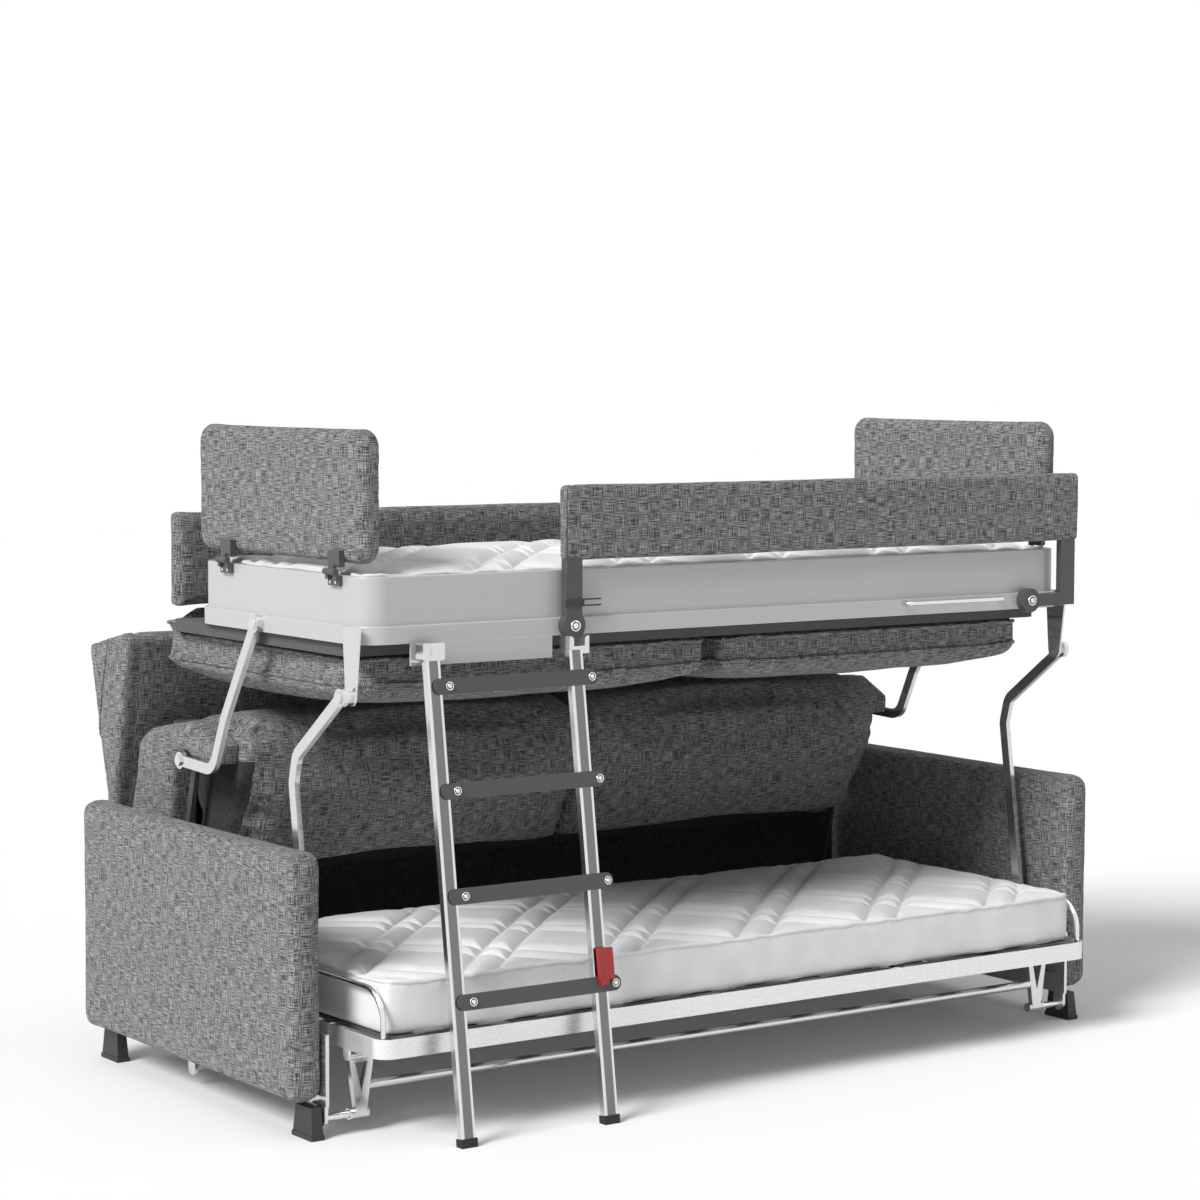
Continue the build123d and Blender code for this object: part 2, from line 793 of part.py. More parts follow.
with BuildPart() as guard_clip:
    with BuildSketch(Plane.XY.offset(clip_z - clip_height / 2)):
        with Locations((left_post_x, post_front - clip_wall / 2)):
            Rectangle(guard_bar + 2 * clip_wall, clip_wall)
        with Locations((left_post_x + guard_bar / 2 + clip_wall / 2, post_front + guard_depth / 4)):
            Rectangle(clip_wall, guard_depth / 2)
    extrude(amount=clip_height)
    for prong_z in (clip_z - clip_height / 2, clip_z + clip_height / 2 - clip_wall):
        with BuildSketch(Plane.XY.offset(prong_z)):
            with Locations((left_post_x + guard_bar / 2 + clip_wall + clip_reach / 2, post_front + clip_wall)):
                Rectangle(clip_reach, 2 * clip_wall)
        extrude(amount=clip_wall)
keep("guard_clip", guard_clip)

# Head panels on hinge blocks: the lower leaf stays on the tray, the upper one turns with the panel
leaf_near = tray_half
leaf_out = leaf_near + block_thickness
panel_in = panel_out - panel_thickness


def head_panel(side):
    """A padded head panel with rounded corners and edges."""
    with BuildPart() as panel:
        with BuildSketch(side_plane(side, panel_in)):
            with Locations(((panel_front + panel_rear) / 2, (panel_bottom + panel_top) / 2)):
                RectangleRounded(panel_rear - panel_front, panel_top - panel_bottom, panel_corner_radius)
        extrude(amount=side * panel_thickness)
        fillet(panel.faces().sort_by(Axis.X)[0].edges(), panel_edge_radius)
        fillet(panel.faces().sort_by(Axis.X)[-1].edges(), panel_edge_radius)
    return panel.part


pieces["left_head_panel"] = head_panel(-1)
pieces["right_head_panel"] = head_panel(1)

knuckle_x = leaf_out + knuckle_radius
leaf_split_low = knuckle_z - knuckle_radius - side_gap
leaf_split_high = knuckle_z + knuckle_radius + side_gap


def upper_leaves(side):
    """The upper hinge leaves of one head panel, each with its share of the knuckle."""
    with BuildPart() as leaves:
        for block_y in block_front_places:
            with BuildSketch(side_plane(side, panel_out)):
                with Locations((block_y, (leaf_split_high + block_top) / 2)):
                    Rectangle(block_width, block_top - leaf_split_high)
            extrude(amount=side * (leaf_out - panel_out))
            with BuildSketch(Plane.XZ.offset(-(block_y - block_width / 4 + knuckle_gap))):
                with Locations((side * knuckle_x, knuckle_z)):
                    Circle(knuckle_radius)
                with Locations((side * (knuckle_x - knuckle_radius / 2), (knuckle_z + leaf_split_high) / 2
                                + knuckle_radius / 2)):
                    Rectangle(knuckle_radius, knuckle_radius + side_gap)
            extrude(amount=-(block_width / 2 - 2 * knuckle_gap))
        with BuildSketch(Plane.XZ.offset(-(block_front_places[0] - block_width))):
            with Locations((side * knuckle_x, knuckle_z)):
                Circle(small_screw_radius)
        extrude(amount=-(block_front_places[-1] - block_front_places[0] + 2 * block_width), mode=Mode.SUBTRACT)
    return leaves.part


pieces["left_panel_leaves"] = upper_leaves(-1)
pieces["right_panel_leaves"] = upper_leaves(1)

with BuildPart() as hinge_blocks:
    for side in (-1, 1):
        for block_y in block_front_places:
            with BuildSketch(side_plane(side, leaf_near)):
                with Locations((block_y, (leaf_split_low + block_bottom) / 2)):
                    Rectangle(block_width, leaf_split_low - block_bottom)
            extrude(amount=side * block_thickness)
            for knuckle_y in (block_y - 3 * block_width / 8, block_y + 3 * block_width / 8):
                with BuildSketch(Plane.XZ.offset(-(knuckle_y - block_width / 8))):
                    with Locations((side * knuckle_x, knuckle_z)):
                        Circle(knuckle_radius)
                    with Locations((side * (knuckle_x - knuckle_radius / 2), leaf_split_low)):
                        Rectangle(knuckle_radius, 2 * knuckle_radius)
                extrude(amount=-block_width / 4)
            with BuildSketch(Plane.XZ.offset(-(block_y - block_width / 2))):
                with Locations((side * knuckle_x, knuckle_z)):
                    Circle(small_screw_radius - pin_clearance)
            extrude(amount=-block_width)
keep("hinge_blocks", hinge_blocks)

# Fasteners on the tray: two bolts that hold the guard, and the screws of the fixed hinge halves
with BuildPart() as tray_bolts:
    with BuildSketch(Plane.XZ.offset(-post_front)):
        with Locations((guard_bolt_left, guard_bolt_z), (guard_bolt_right, guard_bolt_z)):
            Circle(bolt_head_radius)
    extrude(amount=bolt_head_height)
    fillet(tray_bolts.edges().group_by(Axis.Y)[0], small_screw_head)
    for side in (-1, 1):
        for block_y in block_front_places:
            with BuildSketch(side_plane(side, leaf_out)):
                with Locations((block_y - screw_pitch / 2, block_bottom + screw_inset),
                               (block_y + screw_pitch / 2, block_bottom + screw_inset)):
                    Circle(small_screw_radius)
            extrude(amount=side * small_screw_head)
keep("tray_bolts", tray_bolts)

# Ladder, drawn on its own leaning plane: X across, up along the stiles, outwards towards the front
ladder_plane = Plane(origin=(0, ladder_foot_y, 0), x_dir=(1, 0, 0),
                     z_dir=(0, -math.cos(ladder_tilt), math.sin(ladder_tilt)))
along = 1 / math.cos(ladder_tilt)
stile_right_x = ladder_bolt_right - stile_offset
rung_places = [first_rung * along + index * rung_pitch for index in range(rung_count)]
stile_front = stile_depth / 2
rung_back = stile_front + touch_gap
cap_base = stile_front * math.tan(ladder_tilt)


def stile(stile_x, bolt_x, top):
    """A square-tube stile with a lug for each rung's bolt, its foot cut level above the cap."""
    with BuildPart() as post:
        with BuildSketch(ladder_plane.offset(-stile_depth / 2)):
            with Locations((stile_x, (cap_height + top * along) / 2)):
                Rectangle(stile_width, top * along - cap_height)
        extrude(amount=stile_depth)
        fillet(post.edges().filter_by(Axis(origin=(0, 0, 0), direction=ladder_plane.y_dir)), side_gap)
        with BuildSketch(ladder_plane.offset(stile_front - lug_thickness)):
            for rung_v in rung_places:
                with Locations(((stile_x + bolt_x) / 2, rung_v)):
                    Rectangle(bolt_x - stile_x, 2 * ladder_bolt_head)
                with Locations((bolt_x, rung_v)):
                    Circle(ladder_bolt_head)
        extrude(amount=lug_thickness)
    return post.part


pieces["ladder_right_stile"] = stile(stile_right_x, ladder_bolt_right, right_stile_top)
pieces["ladder_left_stile"] = stile(stile_left_x, ladder_bolt_left, left_stile_top)


def foot_cap(stile_x):
    """A rubber shoe round a stile's foot, cut flat on the floor."""
    with BuildPart() as cap:
        with BuildSketch(ladder_plane.offset(-stile_depth / 2 - cap_wall)):
            with Locations((stile_x, cap_height / 2)):
                Rectangle(stile_width + 2 * cap_wall, cap_height + 2 * cap_base + 2 * cap_wall)
        extrude(amount=stile_depth + 2 * cap_wall)
        with BuildSketch(Plane.XY):
            with Locations((stile_x, ladder_foot_y)):
                Rectangle(2 * stile_width, 4 * stile_depth)
        extrude(amount=-2 * cap_height, mode=Mode.SUBTRACT)
        with BuildSketch(ladder_plane.offset(-stile_depth / 2)):
            with Locations((stile_x, cap_height + 2 * cap_height)):
                Rectangle(stile_width, 4 * cap_height)
        extrude(amount=stile_depth, mode=Mode.SUBTRACT)
    return cap.part


pieces["ladder_right_foot"] = foot_cap(stile_right_x)
pieces["ladder_left_foot"] = foot_cap(stile_left_x)

rung_right_end = ladder_bolt_right + rung_overhang
rung_left_end = ladder_bolt_left - rung_left_overhang
latch_x = ladder_bolt_right - latch_offset
latch_pin_x = latch_x - latch_width / 2 + latch_tab / 2
latch_pin_v = rung_places[0] + latch_start - latch_tab_drop / 2
for number, rung_v in enumerate(rung_places, start=1):
    with BuildPart() as rung:
        with BuildSketch(ladder_plane.offset(rung_back)):
            with Locations(((rung_left_end + rung_right_end) / 2, rung_v)):
                SlotOverall(rung_right_end - rung_left_end, rung_height)
            with Locations((ladder_bolt_right, rung_v), (ladder_bolt_left, rung_v)):
                Circle(ladder_bolt_radius + pin_clearance, mode=Mode.SUBTRACT)
            if number == 1:
                with Locations((latch_pin_x, latch_pin_v)):
                    Circle(latch_pin_radius + pin_clearance, mode=Mode.SUBTRACT)
        extrude(amount=rung_thickness)
    keep(f"ladder_rung_{number}", rung)


def ladder_bolt_row(bolt_x):
    """The row of rung bolts on one stile: a shank out of the lug and a head over the rung."""
    with BuildPart() as bolts:
        with BuildSketch(ladder_plane.offset(stile_front)):
            for rung_v in rung_places:
                with Locations((bolt_x, rung_v)):
                    Circle(ladder_bolt_radius)
        extrude(amount=rung_thickness + 2 * touch_gap)
        with BuildSketch(ladder_plane.offset(rung_back + rung_thickness + touch_gap)):
            for rung_v in rung_places:
                with Locations((bolt_x, rung_v)):
                    Circle(ladder_bolt_head)
        extrude(amount=ladder_head_height)
    return bolts.part


pieces["ladder_right_bolts"] = ladder_bolt_row(ladder_bolt_right)
pieces["ladder_left_bolts"] = ladder_bolt_row(ladder_bolt_left)

# The fork on the right stile holds the tongue of the guard's left post
fork_rear = band_front - side_gap
tongue_seat = tongue_bottom - touch_gap
fork_bottom = tongue_seat - fork_floor
with BuildPart() as ladder_fork:
    with BuildSketch(Plane.XZ.offset(-fork_rear)):
        with Locations((guard_bolt_left, (fork_bottom + fork_top) / 2)):
            Rectangle(fork_width, fork_top - fork_bottom)
        with Locations((guard_bolt_left, (tongue_seat + fork_top + overrun) / 2)):
            Rectangle(tongue_width + 2 * touch_gap, fork_top + overrun - tongue_seat, mode=Mode.SUBTRACT)
        with Locations((guard_bolt_left, guard_bolt_z)):
            Circle(guard_disc_radius + touch_gap, mode=Mode.SUBTRACT)
    extrude(amount=fork_rear - fork_front)
    add(pieces["ladder_right_stile"], mode=Mode.SUBTRACT)
    add(pieces["ladder_right_bolts"], mode=Mode.SUBTRACT)
keep("ladder_fork", ladder_fork)

# The head on the left stile rests on the hook plate's shelf
with BuildPart() as ladder_left_head:
    with BuildSketch(Plane.XZ.offset(-head_rear)):
        with Locations((stile_left_x, head_bottom + head_height / 2)):
            RectangleRounded(head_width, head_height, ladder_bolt_radius)
    extrude(amount=head_rear - head_front)
    with BuildSketch(Plane.XZ.offset(-head_front)):
        with Locations((stile_left_x, head_bottom + head_height / 2)):
            Circle(ladder_bolt_head)
    extrude(amount=ladder_head_height)
    add(pieces["ladder_left_stile"], mode=Mode.SUBTRACT)
keep("ladder_left_head", ladder_left_head)

# Latch on the lowest rung, which hooks over the right stile
latch_low = rung_places[0] + latch_start
with BuildPart() as ladder_latch:
    with BuildSketch(ladder_plane.offset(rung_back + rung_thickness + touch_gap)):
        with Locations((latch_x, (latch_low + rung_places[0] + latch_reach) / 2)):
            Rectangle(latch_width, latch_reach - latch_start)
        with Locations((latch_pin_x, latch_low - latch_tab_drop / 2)):
            Rectangle(latch_tab, latch_tab_drop)
    extrude(amount=latch_depth)
    with BuildSketch(ladder_plane.offset(rung_back)):
        with Locations((latch_pin_x, latch_pin_v)):
            Circle(latch_pin_radius)
    extrude(amount=rung_thickness + touch_gap)
keep("ladder_latch", ladder_latch)

# Lower bed: a formed band with ledges inside and hinge ears below, slats, hoops and a mattress
bed_mid_y = (bed_front + bed_rear) / 2
bed_depth = bed_rear - bed_front
bed_band_top = bed_band_bottom + bed_band_height
slat_bottom = bed_band_top - slat_thickness
ledge_y_places = (bed_front + bed_band_wall + ledge_width / 2, bed_rear - bed_band_wall - ledge_width / 2)
ear_in = leg_outer + touch_gap
leg_in = leg_outer - leg_top_width
with BuildPart() as lower_band:
    with BuildSketch(Plane.XY.offset(bed_band_bottom)):
        with Locations((0, bed_mid_y)):
            RectangleRounded(2 * bed_half, bed_depth, bed_corner_radius)
            RectangleRounded(2 * (bed_half - bed_band_wall), bed_depth - 2 * bed_band_wall,
                             bed_corner_radius - bed_band_wall, mode=Mode.SUBTRACT)
    extrude(amount=bed_band_height)
    with BuildSketch(Plane.XY.offset(slat_bottom - ledge_thickness)):
        for ledge in range(ledge_count):
            ledge_x = -bed_half + bed_corner_radius + (ledge + 1 / 2) * ledge_pitch
            for ledge_y in ledge_y_places:
                with Locations((ledge_x, ledge_y)):
                    Rectangle(ledge_length, ledge_width)
        for side in (-1, 1):
            for hoop_y in (hoop_front, hoop_rear):
                with Locations((side * (hoop_x + bed_half) / 2, hoop_y)):
                    Rectangle(bed_half - hoop_x + hoop_pad_width, hoop_pad_width)
        with Locations((0, bed_mid_y)):
            RectangleRounded(2 * bed_half - bed_band_wall, bed_depth - bed_band_wall,
                             bed_corner_radius - bed_band_wall / 2, mode=Mode.INTERSECT)
    extrude(amount=ledge_thickness)
    for side in (-1, 1):
        for shift in (0, leg_rear_shift):
            with BuildSketch(side_plane(side, ear_in)):
                with Locations((leg_top_y + shift, leg_top_z)):
                    Circle(leg_barrel_radius)
                with Locations((leg_top_y + shift, (leg_top_z + bed_band_bottom) / 2)):
                    Rectangle(2 * leg_barrel_radius, bed_band_bottom - leg_top_z)
            extrude(amount=side * (bed_half - ear_in))
            with BuildSketch(side_plane(side, leg_in)):
                with Locations((leg_top_y + shift, leg_top_z)):
                    Circle(pin_radius)
            extrude(amount=side * (ear_in - leg_in))
keep("lower_band", lower_band)

slat_span = 2 * (bed_half - bed_corner_radius) - slat_width
with BuildPart() as lower_slats:
    with BuildSketch(Plane.XY.offset(slat_bottom)):
        for slat in range(slat_count):
            slat_x = -slat_span / 2 + slat * slat_span / (slat_count - 1)
            with Locations((slat_x, bed_mid_y)):
                Rectangle(slat_width, bed_depth - 2 * bed_band_wall)
    extrude(amount=slat_thickness)
keep("lower_slats", lower_slats)

pieces["lower_mattress"] = crowned_pad(-low_pad_half, low_pad_half, low_pad_front, low_pad_rear,
                                       bed_band_top, low_pad_side_top, low_pad_crown, upper_pad_inset)

with BuildPart() as end_hoops:
    for side in (-1, 1):
        with BuildLine() as hoop_route:
            FilletPolyline((side * hoop_x, hoop_front, slat_bottom), (side * hoop_x, hoop_front, hoop_top),
                           (side * hoop_x, hoop_rear, hoop_top), (side * hoop_x, hoop_rear, slat_bottom),
                           radius=hoop_bend)
        with BuildSketch(Plane.XY.offset(slat_bottom)):
            with Locations((side * hoop_x, hoop_front)):
                Circle(hoop_radius)
        sweep(path=hoop_route.line)
keep("end_hoops", end_hoops)

# Folding V legs: a pair in front and a pair behind, which make a parallelogram with the bed
leg_mid_y = (leg_ground_y + leg_top_y) / 2
tube_share = (tube_z - tube_radius - leg_ground_z) / (leg_top_z - leg_ground_z)
tube_end = leg_x - (leg_tip_width + tube_share * (leg_top_width - leg_tip_width)) / 2


def leg_pair(shift):
    """Two V legs with a hinge barrel at each end, and the tube that joins them."""
    with BuildPart() as legs:
        for side in (-1, 1):
            with BuildSketch(Plane.XZ.offset(-(leg_mid_y + shift + leg_thickness / 2))):
                with BuildLine():
                    Polyline((side * (leg_x - leg_tip_width / 2), leg_ground_z),
                             (side * (leg_x - leg_top_width / 2), leg_top_z),
                             (side * (leg_x + leg_top_width / 2), leg_top_z),
                             (side * (leg_x + leg_tip_width / 2), leg_ground_z), close=True)
                make_face()
                with BuildLine():
                    Polyline((side * leg_x, leg_window_low),
                             (side * (leg_x - leg_window_width / 2), leg_window_high),
                             (side * (leg_x + leg_window_width / 2), leg_window_high), close=True)
                make_face(mode=Mode.SUBTRACT)
            extrude(amount=leg_thickness)
            with BuildSketch(side_plane(side, leg_in)):
                with Locations((leg_top_y + shift, leg_top_z)):
                    Circle(leg_barrel_radius)
            extrude(amount=side * leg_top_width)
            with BuildSketch(side_plane(side, leg_pin_in)):
                with Locations((leg_ground_y + shift, leg_ground_z)):
                    Circle(leg_barrel_radius)
            extrude(amount=side * leg_low_barrel)
            with BuildSketch(side_plane(side, leg_in)):
                with Locations((leg_top_y + shift, leg_top_z), (leg_ground_y + shift, leg_ground_z)):
                    Circle(pin_radius + pin_clearance)
            extrude(amount=side * leg_top_width, mode=Mode.SUBTRACT)
        with BuildSketch(Plane.YZ.offset(-tube_end)):
            with Locations((leg_mid_y + shift, tube_z)):
                Circle(tube_radius)
        extrude(amount=2 * tube_end)
    return legs.part


pieces["front_legs"] = leg_pair(0)
pieces["rear_legs"] = leg_pair(leg_rear_shift)


# Backrest: cushions, wings with an opening for the arms, a hood behind and a board inside
def back_section(place, inset):
    """One slice of a back cushion: a full front that rounds over a ridge and falls away behind."""
    with BuildSketch(Plane.YZ.offset(place)) as section:
        with BuildLine():
            Line((back_rear_base_y, back_bottom), (back_heel_y + inset, back_bottom))
            ThreePointArc((back_heel_y + inset, back_bottom), (back_hollow_y + inset, back_hollow_z),
                          (back_belly_y + inset, back_belly_z))
            ThreePointArc((back_belly_y + inset, back_belly_z), (back_front + inset, back_front_z),
                          (back_brow_y + inset, back_brow_z))
            ThreePointArc((back_brow_y + inset, back_brow_z), (back_crown_y, back_crown_z),
                          (wing_ridge_y, wing_ridge_z))
            Line((wing_ridge_y, wing_ridge_z), (wing_top_rear_y, wing_top_rear_z))
            Line((wing_top_rear_y, wing_top_rear_z), (back_rear_base_y, back_bottom))
        make_face()
    return section.sketch


back_station_shares = ((0, 1), (0.05, 0.35), (0.5, 0), (0.95, 0.35), (1, 1))


def back_cushion(x_low, x_high):
    """A back cushion whose front swells towards its middle."""
    with BuildPart() as cushion:
        loft([back_section(x_low + share * (x_high - x_low), inset_share * cushion_edge_inset)
              for share, inset_share in back_station_shares])
    return cushion.part


pieces["left_back_cushion"] = back_cushion(-back_half, -back_split / 2)
pieces["right_back_cushion"] = back_cushion(back_split / 2, back_half)

with BuildPart() as right_back_wing:
    with BuildSketch(side_plane(1, back_half)):
        with BuildLine():
            Polyline((wing_front, wing_under_front), (wing_leg_top_y, wing_under_rear),
                     (wing_leg_base_y, wing_base_z), (wing_heel_y, wing_base_z), (wing_heel_y, wing_heel_z),
                     (wing_rear_y, wing_rear_z), (wing_top_rear_y, wing_top_rear_z),
                     (wing_ridge_y, wing_ridge_z), (wing_front, wing_front_top), close=True)
        make_face()
    extrude(amount=wing_out - back_half)
    fillet(right_back_wing.faces().sort_by(Axis.X)[-1].edges(), wing_edge_radius)
    with BuildSketch(side_plane(1, back_half)):
        with Locations((back_pivot_y, back_pivot_z)):
            Circle(pin_radius + pin_clearance)
        with Locations((rear_ground_y, rear_ground_z)):
            Circle(strut_width / 2 + side_gap + wing_arch_gap)
    extrude(amount=wing_out - back_half, mode=Mode.SUBTRACT)
keep("right_back_wing", right_back_wing)
pieces["left_back_wing"] = mirrored(right_back_wing.part)

with BuildPart() as rear_hood:
    with BuildSketch(Plane.YZ.offset(-hood_half)):
        with BuildLine():
            Polyline((wing_heel_y + touch_gap, hood_base_z), (hood_top_front_y, hood_top_z),
                     (hood_rear_y, hood_rear_z), (wing_heel_y + touch_gap + hood_base_depth, hood_base_z),
                     close=True)
        make_face()
    extrude(amount=2 * hood_half)
    fillet(rear_hood.edges().filter_by(Axis.X).group_by(Axis.Z)[-1], hood_corner_radius)
keep("rear_hood", rear_hood)

# A board behind the cushions, with a rib that carries the hood
board_low = (back_rear_base_y + back_board_thickness, back_bottom)
board_high = (wing_top_rear_y + back_board_thickness, wing_top_rear_z)
hood_low = (wing_heel_y + touch_gap, hood_base_z)
hood_high = (hood_top_front_y, hood_top_z)
rib_top = rib_z + rib_thickness
with BuildPart() as back_board:
    with BuildSketch(Plane.YZ.offset(-back_half)):
        with BuildLine():
            Polyline((back_rear_base_y, back_bottom), board_low, (depth_at(rib_z, board_low, board_high), rib_z),
                     (depth_at(rib_z, hood_low, hood_high), rib_z),
                     (depth_at(rib_top, hood_low, hood_high), rib_top),
                     (depth_at(rib_top, board_low, board_high), rib_top), board_high,
                     (wing_top_rear_y, wing_top_rear_z), close=True)
        make_face()
    extrude(amount=2 * back_half)
keep("back_board", back_board)

# Hand over: move each piece to the frame whose origin is under the middle of the whole outline
os.makedirs("parts", exist_ok=True)
boxes = [piece.bounding_box() for piece in pieces.values()]
outline_middle = (min(box.min.Y for box in boxes) + max(box.max.Y for box in boxes)) / 2
to_origin = Location((0, -outline_middle, 0))
for piece_name, piece in pieces.items():
    placed = piece.moved(to_origin)
    placed.label = piece_name
    export_step(placed, f"parts/{piece_name}.step")
print("pieces", len(pieces), "origin at Y", round(outline_middle, 3))
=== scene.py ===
"""The looks of a sofa that opens into a bunk bed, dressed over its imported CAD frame.

Places and lengths of a sub-assembly are in the sofa's own datum: millimetres, X zero at the middle, Y
zero at the front plane of the armrests, Z zero on the floor. Placing.spot turns such a point into the
scene's metres. What is sewn or woven, such as a seam's depth and width, a cord's radius, a cloth's
thickness, an unevenness or a pad's cap, is in metres from the start.
"""

import logging
import math
from dataclasses import dataclass, field
from enum import Enum
from typing import Callable, Iterable, Sequence

import bmesh
import bpy
import numpy as np
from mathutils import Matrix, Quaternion, Vector
from mathutils.bvhtree import BVHTree


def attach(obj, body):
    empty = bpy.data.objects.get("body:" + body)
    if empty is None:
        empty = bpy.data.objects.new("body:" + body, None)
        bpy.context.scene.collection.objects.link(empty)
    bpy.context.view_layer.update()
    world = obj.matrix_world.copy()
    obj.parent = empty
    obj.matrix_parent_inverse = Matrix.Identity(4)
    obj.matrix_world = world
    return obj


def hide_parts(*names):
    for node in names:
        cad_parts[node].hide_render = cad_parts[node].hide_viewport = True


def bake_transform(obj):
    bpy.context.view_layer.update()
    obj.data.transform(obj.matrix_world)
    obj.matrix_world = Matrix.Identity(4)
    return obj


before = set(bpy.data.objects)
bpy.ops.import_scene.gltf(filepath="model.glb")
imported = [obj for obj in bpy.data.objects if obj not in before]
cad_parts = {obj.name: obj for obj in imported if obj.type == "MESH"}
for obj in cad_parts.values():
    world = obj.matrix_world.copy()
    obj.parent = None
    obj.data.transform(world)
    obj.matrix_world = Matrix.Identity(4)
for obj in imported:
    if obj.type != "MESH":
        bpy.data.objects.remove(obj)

logging.basicConfig(level=logging.INFO, format="%(message)s")
log = logging.getLogger("sofa_bunk")

Socket = bpy.types.NodeSocket
Piece = bpy.types.Object
Colour = tuple[float, float, float]
Direction = tuple[float, float, float]
Pair = tuple[float, float]
Ring = list[bmesh.types.BMVert]
TINY = 1e-6


class Side(Enum):
    """Which end of the sofa a piece is at."""

    LEFT = -1
    RIGHT = 1

    @property
    def word(self) -> str:
        """The side's name, as node names start with it."""
        return self.name.lower()


@dataclass(frozen=True)
class Placing:
    """Turns the sofa's own millimetres into the scene's metres."""

    origin_y: float = 457.446
    unit: float = 0.001

    def spot(self, x: float, y: float, z: float) -> Vector:
        """Places a point.

        Args:
            x: Across the sofa.
            y: Behind the armrests' front plane.
            z: Above the floor.

        Returns:
            The point in the scene's frame, in metres.
        """
        return Vector((x, y - self.origin_y, z)) * self.unit

    def deep(self, y: float) -> float:
        """The scene's Y of a depth behind the armrests' front plane."""
        return (y - self.origin_y) * self.unit


placing = Placing()


# Node trees


class Bench:
    """A node tree that is being wired."""

    def __init__(self, tree: bpy.types.NodeTree) -> None:
        """Takes the tree to wire."""
        self.tree = tree

    def node(self, kind: str, **settings: object) -> bpy.types.Node:
        """Adds a node.

        Args:
            kind: The node's type name.
            settings: Attributes to set on it.

        Returns:
            The new node.
        """
        made = self.tree.nodes.new(kind)
        for name, value in settings.items():
            setattr(made, name, value)
        return made

    def feed(self, target: Socket, value: object) -> None:
        """Links a socket to the target, or sets the target to a plain value.

        Args:
            target: The input to feed.
            value: A socket or a plain value.
        """
        if isinstance(value, bpy.types.NodeSocket):
            self.tree.links.new(value, target)
        else:
            target.default_value = value

    def sum(self, operation: str, first: object, second: object = 0.0) -> Socket:
        """A Math node.

        Args:
            operation: The node's operation.
            first: A socket or a number.
            second: A socket or a number.

        Returns:
            The result's socket.
        """
        made = self.node("ShaderNodeMath", operation=operation)
        self.feed(made.inputs[0], first)
        self.feed(made.inputs[1], second)
        return made.outputs[0]

    def span(self, value: Socket, low: float, high: float, start: float = 0.0, end: float = 1.0) -> Socket:
        """Maps a value's range onto another one, held at its ends.

        Args:
            value: The value to map.
            low: Where the output is start.
            high: Where the output is end.
            start: The output at low.
            end: The output at high.

        Returns:
            The mapped value's socket.
        """
        made = self.node("ShaderNodeMapRange", interpolation_type="SMOOTHSTEP")
        for index, number in enumerate((value, low, high, start, end)):
            self.feed(made.inputs[index], number)
        return made.outputs[0]

    def blend(self, share: object, first: object, second: object) -> Socket:
        """A colour mix.

        Args:
            share: A socket or a number.
            first: The colour where share is 0.
            second: The colour where share is 1.

        Returns:
            The mixed colour's socket.
        """
        made = self.node("ShaderNodeMix", data_type="RGBA")
        self.feed(made.inputs[0], share)
        self.feed(made.inputs[6], first)
        self.feed(made.inputs[7], second)
        return made.outputs[2]

    def grain(self, place: Socket, scale: float, detail: float = 2.0) -> Socket:
        """A noise texture's value at a place.

        Args:
            place: The place's socket.
            scale: How many lumps a metre has.
            detail: How many finer layers lie over it.

        Returns:
            The value's socket.
        """
        made = self.node("ShaderNodeTexNoise")
        self.feed(made.inputs["Vector"], place)
        made.inputs["Scale"].default_value = scale
        made.inputs["Detail"].default_value = detail
        return made.outputs[0]

    def stretch(self, place: Socket, x: float, y: float, z: float) -> Socket:
        """A place with its three parts scaled.

        Args:
            place: The place's socket.
            x: The scale along X.
            y: The scale along Y.
            z: The scale along Z.

        Returns:
            The scaled place's socket.
        """
        made = self.node("ShaderNodeVectorMath", operation="MULTIPLY")
        self.feed(made.inputs[0], place)
        made.inputs[1].default_value = (x, y, z)
        return made.outputs[0]

    def join(self, x: object, y: object, z: object = 0.0) -> Socket:
        """A vector made of three parts.

        Args:
            x: A socket or a number.
            y: A socket or a number.
            z: A socket or a number.

        Returns:
            The vector's socket.
        """
        made = self.node("ShaderNodeCombineXYZ")
        for index, part in enumerate((x, y, z)):
            self.feed(made.inputs[index], part)
        return made.outputs[0]

    def parts(self, vector: Socket) -> tuple[Socket, Socket, Socket]:
        """Takes a vector apart.

        Args:
            vector: The vector's socket.

        Returns:
            The X, Y and Z sockets.
        """
        made = self.node("ShaderNodeSeparateXYZ")
        self.feed(made.inputs[0], vector)
        return made.outputs[0], made.outputs[1], made.outputs[2]


class Effect(Enum):
    """The shader effects that more than one finish uses."""

    WEAVE = "sofa_weave"
    EDGE_WEAR = "sofa_edge_wear"
    FINE_GRAIN = "sofa_fine_grain"
    DUST = "sofa_dust"


